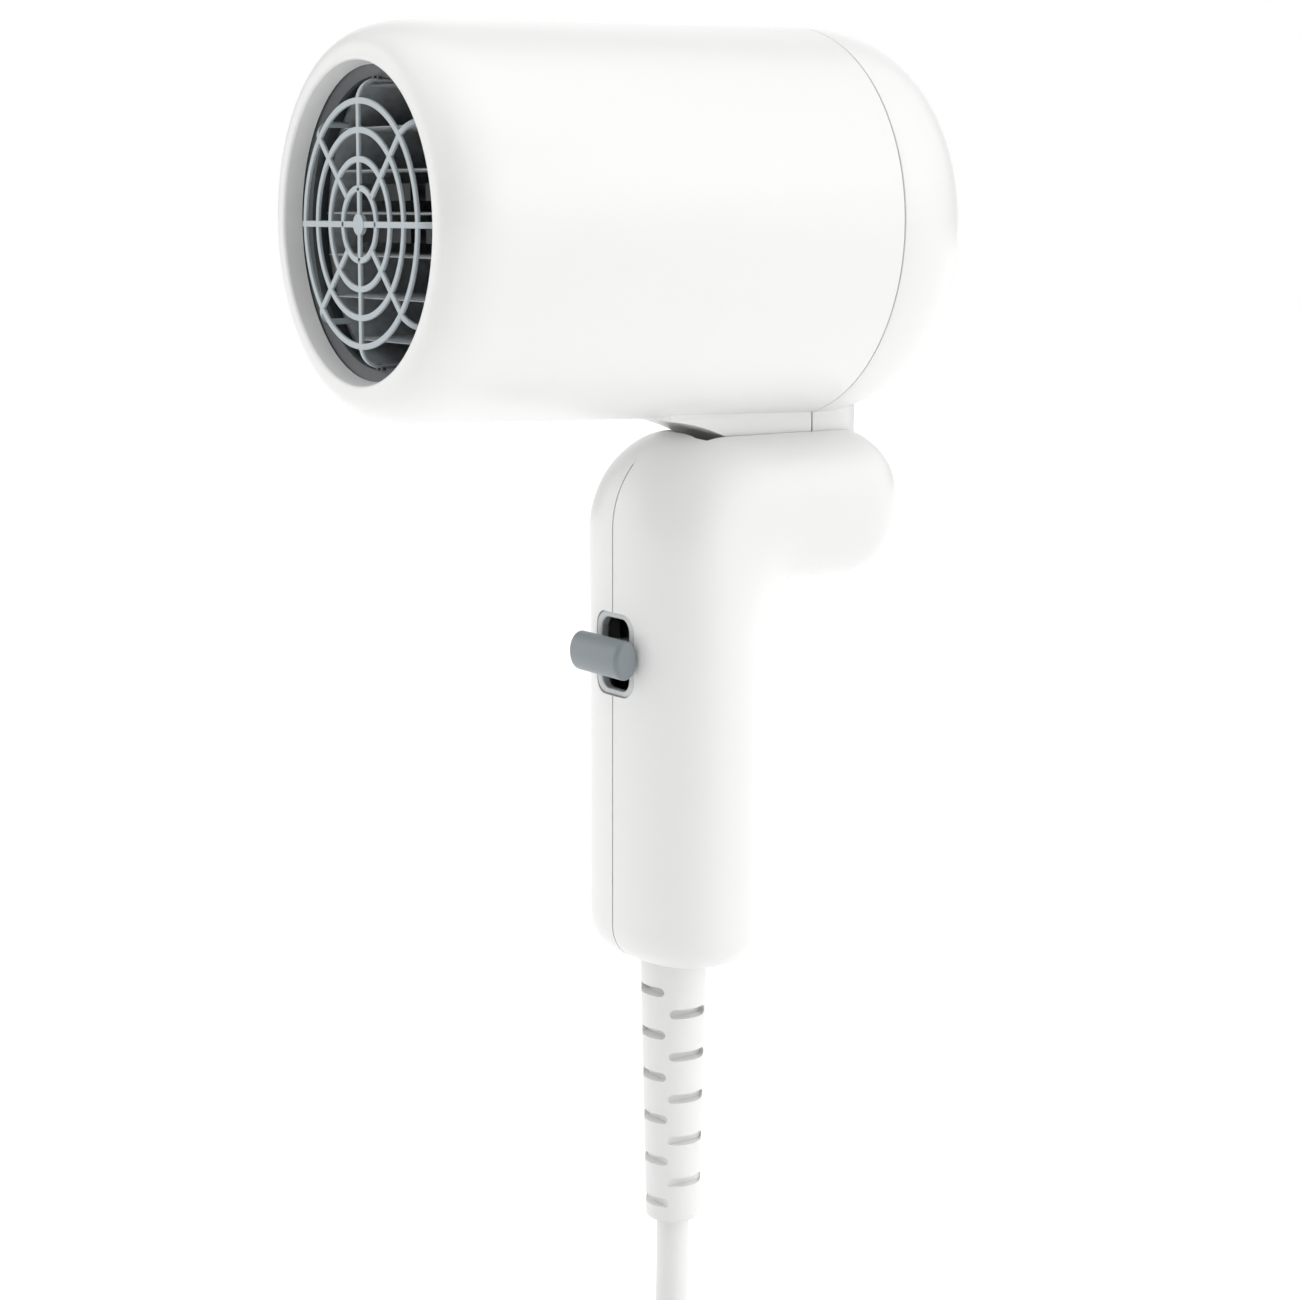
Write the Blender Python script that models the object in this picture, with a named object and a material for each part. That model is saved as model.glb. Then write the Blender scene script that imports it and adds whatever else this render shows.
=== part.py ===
"""Hair dryer with a round barrel that folds on a seven-shaped handle.

Every length below is in millimetres and is turned to metres by the MM factor.
+Z is up, the air leaves towards -X, and the handle halves meet on the plane Y = 0.
The origin is the middle of the grip, where a hand holds the dryer.
"""

from math import asin, cos, pi, radians, sin, sqrt

import bmesh
import bpy
from mathutils import Matrix, Vector

MM = 0.001
GAP = 0.3  # between pieces that touch

# Barrel: turned about an axis along X.
AXIS_Z = 98.0
SEAM_X = 26.9
LIP_X = -71.4
REAR_X = 47.4
SEAM_R = 38.9
BARREL_SLOPE = 0.0198  # the barrel widens towards the seam by this much per mm
WALL = 2.2
NOSE_LENGTH = 12.7
NOSE_POWER = 2.2
LIP_R = 31.2
LIP_DEPTH = 3.1  # how far the lip's own wall runs in before the liner
OUTLET_R = 29.65
OUTLET_INNER_R = 29.0  # where the lip's wall meets the liner
CAP_POWER = 2.5
REAR_FLAT_R = 23.4
INLET_R = 21.6
BARREL_SIDES = 48

# Outlet grille: four rings and eight spokes, on legs that bend back to a base ring.
GRILLE_RINGS = (6.6, 12.0, 17.1, 22.4)
GRILLE_BAR = 1.15
GRILLE_DEPTH = 1.0
GRILLE_BOSS_R = 2.0
GRILLE_SPOKES = 8
GRILLE_X = LIP_X + 1.0
LEG_R = 26.2
LEG_CORNER = 3.8
LEG_END_X = LIP_X + 8.4
INLET_RINGS = (5.6, 9.4, 13.2, 17.0, 20.6)
INLET_BAR = 1.3
INLET_BOSS_R = 2.4

# Heater: mica boards in a mica sleeve, with flat zigzag strips between them.
SLEEVE_R = 29.8
SLEEVE_START_X = LIP_X + 9.6
SLEEVE_END_X = LIP_X + 54.0
BOARD_REACH = 28.6
BOARD_FRONT_REACH = 24.6  # inside the grille's legs
BOARD_FRONT_X = LIP_X + 6.8
BOARD_MIDDLE_X = LIP_X + 10.2
BOARD_END_X = LIP_X + 50.0
BOARD_HALF = 0.4
BOARD_PITCH = 7.9
BOARD_OFFSET = 2.0  # the middle board is this much above the barrel's axis
BOARDS_EACH_WAY = 3

# Neck and hinge: the barrel turns about +Y on the pin.
HINGE_X = 34.1
HINGE_Z = 41.6
NECK_HALF = 9.6
NECK_BACK_ROUND = 7.3
NECK_FRONT_CENTRE = (-11.8, 17.9)
NECK_FRONT_R = 42.0
BOSS_R = 7.3
PIN_R = 2.5
PIN_HALF_LENGTH = 15.0
SLOT_HALF = 10.0
SLOT_FRONT_R = 39.8
SLOT_FLOOR_Z = 31.1
SLOT_LEDGE = 7.0  # how far the slot floor runs on behind the pin

# Handle: a band of rounded section that follows the shape of a seven.
GRIP_HALF_DEPTH = 15.0
GRIP_HALF_WIDTH = 20.2
GRIP_POWER = 2.2
HEAD_POWER = 2.7  # the section grows squarer towards the head
GRIP_BOTTOM_Z = -51.2
BOTTOM_ROUND = 8.0
HEAD_TOP_Z = 58.0
HEAD_HALF = 15.7
HEAD_REACH = 13.6  # from the hinge to the rear end
KNUCKLE_R = 19.5
INNER_FILLET_R = 10.0
SHELL_WALL = 2.4
CASE_SCREWS = ((0.0, -30.0), (2.0, 33.0))  # (x, z) of the screws that hold the halves together
POST_REACH = 18.8  # the screw posts end inside the shell wall

# Switch on the front of the grip.
SWITCH_Z = 12.8
BEZEL_X = -14.35
BEZEL_THICKNESS = 1.8
BEZEL_HALF_Y = 6.8
BEZEL_HALF_Z = 8.4
BEZEL_ROUND = 3.4
SLOT_HALF_Y = 5.0
SLOT_HALF_Z = 7.25
SLOT_ROUND = 2.6
KNOB_X = -17.3
KNOB_HALF_X = 2.75
KNOB_HALF_Z = 4.0
KNOB_HALF_LENGTH = 8.9
KNOB_FILLET = 1.0

# Strain relief, cord, coil and plug.
RELIEF_TOP_R = 6.85
RELIEF_END_R = 5.6
RELIEF_END_Z = -107.9
RELIEF_ROWS = 11
RELIEF_FIRST_Z = -58.0
RELIEF_PITCH = 4.56
RELIEF_CORE_R = 3.7
RELIEF_SLOT_HALF_LENGTH = 4.3
RELIEF_SLOT_HALF_HEIGHT = 1.0
RELIEF_NECK_R = 5.2
CORD_R = 3.45
CORD_STEP = 13.8
COIL_R = 38.0
COIL_ROWS = 5
COIL_X = -COIL_R - CORD_R
COIL_TOP_AXIS_Z = -175.0
LEAD_Y = -COIL_R - CORD_R

WHITE = "F2F2F1"
DARK_GREY = "4A5053"
BAR_GREY = "A9B2B6"
KNOB_GREY = "7C8488"


# ---------------------------------------------------------------- helpers


def linear(hex_colour):
    """An sRGB hex colour as linear red, green, blue and alpha."""
    parts = [int(hex_colour[i : i + 2], 16) / 255 for i in (0, 2, 4)]
    return [c / 12.92 if c <= 0.04045 else ((c + 0.055) / 1.055) ** 2.4 for c in parts] + [1.0]


def material(name, colour, roughness, metallic=0.0):
    made = bpy.data.materials.new(name)
    made.use_nodes = True
    shader = made.node_tree.nodes["Principled BSDF"]
    shader.inputs["Base Color"].default_value = linear(colour)
    shader.inputs["Roughness"].default_value = roughness
    shader.inputs["Metallic"].default_value = metallic
    return made


def empty(name, place):
    made = bpy.data.objects.new(name, None)
    made.location = Vector(place) * MM
    bpy.context.scene.collection.objects.link(made)
    return made


def piece(name, shape, look=None, parent=None):
    """An object from a bmesh drawn in millimetres, with its origin where its parent empty stands."""
    origin = parent.location.copy() if parent else Vector()
    bmesh.ops.remove_doubles(shape, verts=shape.verts, dist=1e-5)
    bmesh.ops.scale(shape, vec=(MM, MM, MM), verts=shape.verts)
    bmesh.ops.translate(shape, vec=-origin, verts=shape.verts)
    bmesh.ops.recalc_face_normals(shape, faces=shape.faces)
    mesh = bpy.data.meshes.new(name)
    shape.to_mesh(mesh)
    shape.free()
    mesh.shade_smooth()
    mesh.set_sharp_from_angle(angle=radians(35))
    made = bpy.data.objects.new(name, mesh)
    bpy.context.scene.collection.objects.link(made)
    if look:
        mesh.materials.append(look)
    made.parent = parent
    return made


def combine(target, other, operation):
    """Joins, cuts or crosses target with other, which becomes a hidden guide."""
    other.hide_render = True
    other.display_type = "WIRE"
    step = target.modifiers.new(operation.lower() + "_" + other.name, "BOOLEAN")
    step.operation = operation
    step.solver = "EXACT"
    step.object = other
    return target


def join(target, other):
    return combine(target, other, "UNION")


def cut(target, other):
    return combine(target, other, "DIFFERENCE")


def loft(rings, closed_loop=False):
    """A closed body through rings of equally many points; a ring of one point is a pole."""
    shape = bmesh.new()
    rows = [[shape.verts.new(point) for point in ring] for ring in rings]
    pairs = list(zip(rows, rows[1:]))
    if closed_loop:
        pairs.append((rows[-1], rows[0]))
    for low, high in pairs:
        count = max(len(low), len(high))
        for i in range(count):
            j = (i + 1) % count
            if len(low) == 1:
                shape.faces.new((low[0], high[i], high[j]))
            elif len(high) == 1:
                shape.faces.new((low[i], low[j], high[0]))
            else:
                shape.faces.new((low[i], low[j], high[j], high[i]))
    if not closed_loop:
        for end in (rows[0], rows[-1]):
            if len(end) > 2:
                shape.faces.new(end)
    return shape


def turned(profile, sides, centre=(0.0, 0.0, 0.0), axis="X", closed_loop=True):
    """A profile of (along, radius) points turned about an axis; a loop makes a ring."""
    rings = []
    for along, radius in profile:
        if radius < 1e-6:
            rings.append([(along, 0.0, 0.0)])
            continue
        turn = [2 * pi * i / sides for i in range(sides)]
        rings.append([(along, radius * cos(a), radius * sin(a)) for a in turn])
    shape = loft(rings, closed_loop)
    if axis == "Z":
        bmesh.ops.rotate(shape, verts=shape.verts, matrix=Matrix.Rotation(-pi / 2, 3, "Y"))
    if axis == "Y":
        bmesh.ops.rotate(shape, verts=shape.verts, matrix=Matrix.Rotation(pi / 2, 3, "Z"))
    bmesh.ops.translate(shape, vec=centre, verts=shape.verts)
    return shape


def rod(start, end, radius, sides, centre, axis="X"):
    """A plain cylinder between two places on an axis through centre."""
    ring = [(start, radius), (end, radius)]
    return turned(ring, sides, centre, axis, closed_loop=False)


def tube(start, end, inner, outer, sides, centre, axis="X"):
    loop = [(start, inner), (start, outer), (end, outer), (end, inner)]
    return turned(loop, sides, centre, axis)


def prism(outline, low, high, axis="Y"):
    """An outline of (x, z) points drawn out along Y, or of (x, y) points along Z, or (y, z) along X."""
    order = {
        "Y": lambda a, b, c: (a, c, b),
        "Z": lambda a, b, c: (a, b, c),
        "X": lambda a, b, c: (c, a, b),
    }[axis]
    return loft([[order(a, b, c) for a, b in outline] for c in (low, high)])


def block(low, high, bevel=0.0, segments=2):
    shape = bmesh.new()
    bmesh.ops.create_cube(shape, size=1.0)
    size = [h - l for l, h in zip(low, high)]
    middle = [(h + l) / 2 for l, h in zip(low, high)]
    bmesh.ops.scale(shape, vec=size, verts=shape.verts)
    bmesh.ops.translate(shape, vec=middle, verts=shape.verts)
    if bevel:
        bmesh.ops.bevel(
            shape, geom=shape.edges[:], offset=bevel, segments=segments, affect="EDGES", profile=0.5
        )
    return shape


def arc(centre, radius, start, end, steps):
    """Points on an arc, with its angles in degrees."""
    turn = [radians(start + (end - start) * i / steps) for i in range(steps + 1)]
    return [(centre[0] + radius * cos(a), centre[1] + radius * sin(a)) for a in turn]


def rounded_box_outline(half_a, half_b, radius, steps=4):
    outline = []
    for corner, (sa, sb) in enumerate(((1, 1), (-1, 1), (-1, -1), (1, -1))):
        centre = (sa * (half_a - radius), sb * (half_b - radius))
        outline += arc(centre, radius, 90 * corner, 90 * corner + 90, steps)
    return outline


def power_arc(start_x, length, outer_r, inner_r, power, steps):
    """Profile points of a rounded corner that starts along the barrel and ends square to it."""
    points = []
    for i in range(steps + 1):
        turn = pi / 2 * i / steps
        along = start_x + length * sin(turn) ** (2 / power)
        points.append((along, inner_r + (outer_r - inner_r) * max(cos(turn), 0.0) ** (2 / power)))
    return points


# ---------------------------------------------------------------- barrel body


def barrel_radius(x):
    return SEAM_R + BARREL_SLOPE * (x - SEAM_X)


def nose_profile(steps):
    """The nose from the barrel's side to the lip."""
    start = LIP_X + NOSE_LENGTH
    return power_arc(start, -NOSE_LENGTH, barrel_radius(start), LIP_R, NOSE_POWER, steps)


def front_housing(look, pivot):
    seam = SEAM_X - GAP / 2
    nose_start = LIP_X + NOSE_LENGTH
    outer = [(seam, barrel_radius(seam))] + nose_profile(7)
    lip = [(LIP_X, OUTLET_R + 0.6), (LIP_X + 0.6, OUTLET_R), (LIP_X + LIP_DEPTH, OUTLET_INNER_R)]
    inner = [(LIP_X + LIP_DEPTH, LIP_R + 2.2), (nose_start, barrel_radius(nose_start) - WALL)]
    inner += [(seam, barrel_radius(seam) - WALL)]
    shape = turned(outer + lip + inner, BARREL_SIDES, (0, 0, AXIS_Z))
    housing = piece("front_housing", shape, look, pivot)
    join(housing, neck_half("front", look, pivot))
    wire_hole = rod(HINGE_Z + 2.0, AXIS_Z - 30.0, 2.6, 12, (18.0, 0, 0), "Z")
    cut(housing, piece("wire_hole_guide", wire_hole, look, pivot))
    return housing


def rear_cover(look, pivot):
    seam = SEAM_X + GAP / 2
    outer = power_arc(seam, REAR_X - seam, SEAM_R, REAR_FLAT_R, CAP_POWER, 7)
    inner = power_arc(seam, REAR_X - WALL - seam, SEAM_R - WALL, INLET_R, CAP_POWER, 5)
    inner = [p for p in inner[::-1] if p[1] > INLET_R + 0.5]
    inlet = [(REAR_X, INLET_R), (REAR_X - WALL, INLET_R)]
    spigot_r = SEAM_R - WALL - 0.35
    spigot = [(seam, spigot_r), (seam - 3.0, spigot_r), (seam - 3.0, spigot_r - 1.5)]
    spigot += [(seam + 1.5, spigot_r - 1.5)]
    inner = [p for p in inner if p[0] > seam + 2.5]
    profile = outer + inlet + inner + spigot[::-1]
    shape = turned(profile, BARREL_SIDES, (0, 0, AXIS_Z))
    cover = piece("rear_cover", shape, look, pivot)
    join(cover, neck_half("rear", look, pivot))
    bore = rod(-30, 30, PIN_R + 0.08, 20, (HINGE_X, 0, HINGE_Z), "Y")
    cut(cover, piece("pin_bore_guide", bore, look, pivot))
    return cover


def neck_outline():
    """Side view of the whole neck, as (x, z): the front arc, round the boss, and up the back."""
    top = AXIS_Z - SEAM_R + WALL - 0.1
    front = arc(NECK_FRONT_CENTRE, NECK_FRONT_R, 84, 27, 12)
    boss = arc((HINGE_X, HINGE_Z), BOSS_R, 215, 360, 8)
    return [(front[0][0], top)] + front + boss + [(HINGE_X + BOSS_R, top)]


def neck_half(side, look, pivot):
    """One half of the neck: its side view drawn out, then trimmed in plan to the seam and a round back."""
    whole = prism(neck_outline(), -NECK_HALF, NECK_HALF)
    whole = piece("neck_%s_guide" % side, whole, look, pivot)
    wide = NECK_HALF + 1.0
    if side == "front":
        seam = SEAM_X - GAP / 2
        plan = [(-40.0, -wide), (seam, -wide), (seam, wide), (-40.0, wide)]
    else:
        seam = SEAM_X + GAP / 2
        corner = HINGE_X + BOSS_R - NECK_BACK_ROUND
        side_y = NECK_HALF - NECK_BACK_ROUND
        plan = [(seam, -wide), (corner - 2.0, -wide), (corner - 2.0, -NECK_HALF)]
        plan += arc((corner, -side_y), NECK_BACK_ROUND, -90, 0, 6)
        plan += arc((corner, side_y), NECK_BACK_ROUND, 0, 90, 6)
        plan += [(corner - 2.0, NECK_HALF), (corner - 2.0, wide), (seam, wide)]
    trim = piece("neck_%s_plan_guide" % side, prism(plan, 20.0, AXIS_Z, "Z"), look, pivot)
    return combine(whole, trim, "INTERSECT")


def ring_grille(rings, bar, boss_r, spokes, low_x, high_x, sides_per_gap, first_full):
    """A flat grille of rings and straight spokes, drawn on a polar grid and given its depth along X.

    Inside the first ring only every second spoke runs on to the boss.
    """
    radii = [boss_r]
    for r in rings:
        radii += [r - bar / 2, r + bar / 2]
    shape = bmesh.new()
    columns = []
    for k in range(spokes):
        middle = 2 * pi * k / spokes
        columns.append(("low", middle))
        columns.append(("high", middle))
        for step in range(1, sides_per_gap):
            columns.append(("gap", middle + 2 * pi / spokes * step / sides_per_gap))

    def angle(column, r):
        kind, base = column
        if kind == "gap":
            return base
        half = asin(bar / 2 / r)
        return base - half if kind == "low" else base + half

    layers = []
    for x in (low_x, high_x):
        grid = []
        for r in radii:
            grid.append([shape.verts.new((x, r * cos(angle(c, r)), r * sin(angle(c, r)))) for c in columns])
        layers.append(grid)
    front, back = layers
    count = len(columns)
    per_spoke = sides_per_gap + 1
    solid = {}
    for i in range(len(radii) - 1):
        for j in range(count):
            on_ring = i % 2 == 1
            on_spoke = j % per_spoke == 0
            reaches_in = first_full or i > 0 or (j // per_spoke) % 2 == 0
            solid[i, j] = on_ring or (on_spoke and reaches_in)
    for (i, j), filled in solid.items():
        if not filled:
            continue
        k = (j + 1) % count
        shape.faces.new((front[i][j], front[i][k], front[i + 1][k], front[i + 1][j]))
        shape.faces.new((back[i][j], back[i + 1][j], back[i + 1][k], back[i][k]))
        if not solid.get((i + 1, j), False):
            shape.faces.new((front[i + 1][j], front[i + 1][k], back[i + 1][k], back[i + 1][j]))
        if i > 0 and not solid[i - 1, j]:
            shape.faces.new((front[i][j], back[i][j], back[i][k], front[i][k]))
        if not solid[i, (j - 1) % count]:
            shape.faces.new((front[i][j], front[i + 1][j], back[i + 1][j], back[i][j]))
        if not solid[i, k]:
            shape.faces.new((front[i][k], back[i][k], back[i + 1][k], front[i + 1][k]))
    for j in range(count):
        if not solid[0, j]:
            k = (j + 1) % count
            shape.faces.new((front[0][j], front[0][k], back[0][k], back[0][j]))
    shape.faces.new(front[0])
    shape.faces.new(back[0][::-1])
    loose = [v for v in shape.verts if not v.link_faces]
    bmesh.ops.delete(shape, geom=loose, context="VERTS")
    return shape


def bent_leg(turn):
    """One spoke's leg: outwards from the last ring, round a corner, and back to the base ring."""
    start = GRILLE_RINGS[-1]
    outside = LEG_R + GRILLE_DEPTH / 2
    bend = (GRILLE_X + LEG_CORNER, outside - LEG_CORNER)
    outer = [(GRILLE_X, start)] + arc(bend, LEG_CORNER, 180, 90, 4) + [(LEG_END_X, outside)]
    inner = [(GRILLE_X + GRILLE_DEPTH, start)] + arc(bend, LEG_CORNER - GRILLE_DEPTH, 180, 90, 4)
    inner += [(LEG_END_X, outside - GRILLE_DEPTH)]
    outline = outer + inner[::-1]
    shape = loft([[(x, y, r) for x, r in outline] for y in (-GRILLE_BAR / 2, GRILLE_BAR / 2)])
    bmesh.ops.rotate(shape, verts=shape.verts, matrix=Matrix.Rotation(turn, 3, "X"))
    bmesh.ops.translate(shape, vec=(0, 0, AXIS_Z), verts=shape.verts)
    return shape


def outlet_grille(look, pivot):
    depth = (GRILLE_X, GRILLE_X + GRILLE_DEPTH)
    shape = ring_grille(GRILLE_RINGS, GRILLE_BAR, GRILLE_BOSS_R, GRILLE_SPOKES, *depth, 4, False)
    bmesh.ops.translate(shape, vec=(0, 0, AXIS_Z), verts=shape.verts)
    grille = piece("outlet_grille", shape, look, pivot)
    base = tube(LEG_END_X - 0.8, LEG_END_X + 0.8, LEG_R - 1.0, LEG_R + 1.8, 32, (0, 0, AXIS_Z))
    base = piece("grille_base_guide", base, look, pivot)
    for k in range(GRILLE_SPOKES):
        leg = piece("grille_leg_guide_%d" % k, bent_leg(2 * pi * k / GRILLE_SPOKES), look, pivot)
        join(base, leg)
    join(grille, base)
    return grille


def outlet_liner(look, pivot):
    """A flange behind the lip, a funnel to the step that stops a nozzle, and the straight duct."""
    front = LIP_X + LIP_DEPTH + GAP
    step = front + 1.4
    duct_end = LIP_X + 38.0
    flange_r, duct_outer, duct_inner, step_r = 33.0, 31.6, 30.4, 26.9
    profile = [(front, flange_r), (front, OUTLET_INNER_R - 0.1), (step, step_r)]
    profile += [(step + 0.9, step_r), (step + 1.6, duct_inner), (duct_end, duct_inner)]
    profile += [(duct_end, duct_outer), (front + 2.6, duct_outer), (front + 1.6, flange_r)]
    return piece("outlet_liner", turned(profile, 48, (0, 0, AXIS_Z)), look, pivot)


def board_comb(reach):
    """Front view of the boards, as (y, z): level ones on an upright one, inside a circle of this reach."""
    side = []
    for k in range(-BOARDS_EACH_WAY, BOARDS_EACH_WAY + 1):
        level = BOARD_OFFSET + BOARD_PITCH * k
        far = abs(level) + BOARD_HALF
        if far > reach - 1.0:
            continue
        width = sqrt(reach**2 - far**2)
        low, high = level - BOARD_HALF, level + BOARD_HALF
        side += [(BOARD_HALF, low), (width, low), (width, high), (BOARD_HALF, high)]
    top = sqrt(reach**2 - BOARD_HALF**2)
    right = [(BOARD_HALF, -top)] + side + [(BOARD_HALF, top)]
    return [(y, z + AXIS_Z) for y, z in right + [(-y, z) for y, z in right[::-1]]]


def heater_boards(look, pivot):
    """The boards, with their front ends narrower so that they reach in between the grille's legs."""
    long_part = prism(board_comb(BOARD_REACH), BOARD_MIDDLE_X, BOARD_END_X, "X")
    boards = piece("heater_boards", long_part, look, pivot)
    front = prism(board_comb(BOARD_FRONT_REACH), BOARD_FRONT_X, BOARD_MIDDLE_X + 1.0, "X")
    return join(boards, piece("heater_front_guide", front, look, pivot))


def heater_coil(name, side, level, look, pivot):
    """A flat zigzag of heating strip that lies between two boards."""
    waves = 6
    pitch = 5.0
    thick = 0.5
    half_height = 1.6
    near, far = 3.0, 22.0
    start = LIP_X + 14.0
    points = []
    for k in range(waves + 1):
        x = start + k * pitch
        ends = ((near, far), (far, near))[k % 2]
        points += [(x, ends[0]), (x, ends[1])]
    outline = [(x, side * y) for x, y in ribbon(points, thick)]
    shape = prism(outline, AXIS_Z + level - half_height, AXIS_Z + level + half_height, "Z")
    return piece(name, shape, look, pivot)


def ribbon(points, half):
    """The outline of a path with square corners, half wide on each side."""
    left, right = [], []
    for i, (x, y) in enumerate(points):
        before = Vector((x, y)) - Vector(points[i - 1]) if i else None
        after = Vector(points[i + 1]) - Vector((x, y)) if i + 1 < len(points) else None
        ways = [v.normalized() for v in (before, after) if v is not None]
        normals = [Vector((-v.y, v.x)) for v in ways]
        offset = sum(normals, Vector((0, 0)))
        if len(ways) == 1:
            offset = normals[0]
        left.append((x + half * offset.x, y + half * offset.y))
        right.append((x - half * offset.x, y - half * offset.y))
    return left + right[::-1]


def heater_parts(mica, wire, metal, pivot):
    """Sleeve, boards, four strips, and the thermostat and fuse in the cell above the strips."""
    sleeve = tube(SLEEVE_START_X, SLEEVE_END_X, SLEEVE_R - 0.7, SLEEVE_R, 40, (0, 0, AXIS_Z))
    piece("heater_sleeve", sleeve, mica, pivot)
    heater_boards(mica, pivot)
    upper = BOARD_OFFSET + BOARD_PITCH / 2
    for row, level in (("upper", upper), ("lower", upper - BOARD_PITCH)):
        heater_coil("heater_coil_%s_near" % row, -1, level, wire, pivot)
        heater_coil("heater_coil_%s_far" % row, 1, level, wire, pivot)
    cell = AXIS_Z + upper + BOARD_PITCH
    case = block((-30.0, 3.0, cell - 2.6), (-22.0, 11.0, cell + 2.6), 0.8, 1)
    piece("thermostat", case, metal, pivot)
    piece("thermal_fuse", rod(-32.0, -22.0, 1.6, 10, (0, -7.0, cell)), metal, pivot)


def motor_mount(look, pivot):
    """The stator ring: straightening vanes hold the cup in which the motor sits."""
    front, back = -13.5, 8.5
    cup_r = 15.4
    cup_bore = 14.1
    ring_bore = 33.0
    vanes = 6
    vane_half = 0.7
    first_vane = 0.26  # radians from the top
    ring = tube(front, back, ring_bore, ring_bore + 1.4, 44, (0, 0, AXIS_Z))
    ring = piece("motor_mount", ring, look, pivot)
    nose = [(front - 1.5, 0.0), (front - 1.5, 6.0), (front + 1.5, 13.0), (front + 4.5, cup_r)]
    bore = [(back - 2.0, cup_r), (back - 2.0, cup_bore), (front + 3.5, cup_bore), (front + 3.5, 0.0)]
    cup = turned(nose + bore, 28, (0, 0, AXIS_Z), closed_loop=False)
    holder = piece("motor_cup_guide", cup, look, pivot)
    for k in range(vanes):
        turn = Matrix.Rotation(2 * pi * k / vanes + first_vane, 3, "X")
        vane = block((front + 5.0, -vane_half, cup_r - 0.6), (back - 3.0, vane_half, ring_bore + 0.7))
        bmesh.ops.rotate(vane, verts=vane.verts, matrix=turn)
        bmesh.ops.translate(vane, vec=(0, 0, AXIS_Z), verts=vane.verts)
        join(holder, piece("motor_vane_guide_%d" % k, vane, look, pivot))
    return join(ring, holder)


def motor_parts(metal, brass, pivot):
    """The motor's can, open in front for the shaft, and the bush at its rear."""
    front, back = -9.6, 12.5
    can_r = 13.7
    collar_r = 3.6
    shaft_hole = 1.5
    can = [(front, 0.0), (front, can_r), (back, can_r), (back, collar_r)]
    can += [(back + 1.6, collar_r), (back + 1.6, shaft_hole)]
    can += [(front + 6.0, shaft_hole), (front + 6.0, 0.0)]
    piece("motor_can", turned(can, 28, (0, 0, AXIS_Z), closed_loop=False), metal, pivot)
    bush = tube(back + 1.9, back + 4.4, 1.26, collar_r, 16, (0, 0, AXIS_Z))
    piece("shaft_bush", bush, brass, pivot)


def impeller_blade(middle_x):
    """A blade that sweeps forward and flattens towards its tip, upright on the hub."""
    root_r = 8.6
    half_chord = 5.6
    half_thick = 0.55
    sweep_per_mm = 0.75  # degrees
    rows = []
    for r, pitch in ((root_r, 48), (16.0, 40), (24.0, 32), (31.6, 26)):
        chord = Vector((cos(radians(pitch)), sin(radians(pitch)), 0)) * half_chord
        thick = Vector((-sin(radians(pitch)), cos(radians(pitch)), 0)) * half_thick
        sweep = Matrix.Rotation(radians(sweep_per_mm * (r - root_r)), 3, "X")
        middle = Vector((middle_x, 0, r))
        corners = [middle + s * chord + t * thick for s, t in ((-1, -1), (1, -1), (1, 1), (-1, 1))]
        rows.append([tuple(sweep @ corner) for corner in corners])
    return loft(rows)


def impeller(look, metal, hub_empty):
    """Nine blades on a round hub, on the motor's shaft."""
    front, back = 20.5, 33.0
    bore = 1.5
    hub_r = 9.6
    blades = 9
    hub = [(front, bore), (front, hub_r), (back - 3.0, hub_r), (back - 0.8, 7.6), (back, 4.0), (back, bore)]
    fan = piece("impeller", turned(hub, 27, (0, 0, AXIS_Z)), look, hub_empty)
    for k in range(blades):
        blade = impeller_blade((front + back) / 2 - 0.3)
        turn = Matrix.Rotation(2 * pi * k / blades, 3, "X")
        bmesh.ops.rotate(blade, verts=blade.verts, matrix=turn)
        bmesh.ops.translate(blade, vec=(0, 0, AXIS_Z), verts=blade.verts)
        join(fan, piece("blade_guide_%d" % k, blade, look, hub_empty))
    shaft = rod(-2.8, back - 2.0, 1.2, 12, (0, 0, AXIS_Z))
    piece("motor_shaft", shaft, metal, hub_empty)


def inlet_parts(look, mesh_look, pivot):
    """The grille in the rear cover and the disc of mesh behind it."""
    depth = (REAR_X - 1.9, REAR_X - 0.3)
    shape = ring_grille(INLET_RINGS, INLET_BAR, INLET_BOSS_R, GRILLE_SPOKES, *depth, 4, True)
    bmesh.ops.translate(shape, vec=(0, 0, AXIS_Z), verts=shape.verts)
    piece("inlet_grille", shape, look, pivot)
    mesh = rod(REAR_X - 4.2, REAR_X - 2.8, INLET_R + 1.0, 32, (0, 0, AXIS_Z))
    piece("inlet_filter", mesh, mesh_look, pivot)


# ---------------------------------------------------------------- handle body


def signed_power(value, power):
    return abs(value) ** power * (1 if value >= 0 else -1)


def section(station, inset=0.0, points=24):
    """A rounded section at a station of the handle, moved inwards by inset."""
    outer, inner, half_width, power = station
    outer, inner = Vector(outer), Vector(inner)
    middle = (outer + inner) / 2
    half = (outer - inner).length / 2
    way = (outer - inner) / (2 * half)
    half = max(half - inset, 0.2)
    width = max(half_width - inset, 0.2)
    ring = []
    for k in range(points):
        turn = 2 * pi * k / points
        depth = half * signed_power(cos(turn), 2 / power)
        side = width * signed_power(sin(turn), 2 / power)
        ring.append((middle.x + way.x * depth, side, middle.y + way.y * depth))
    return ring


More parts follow.
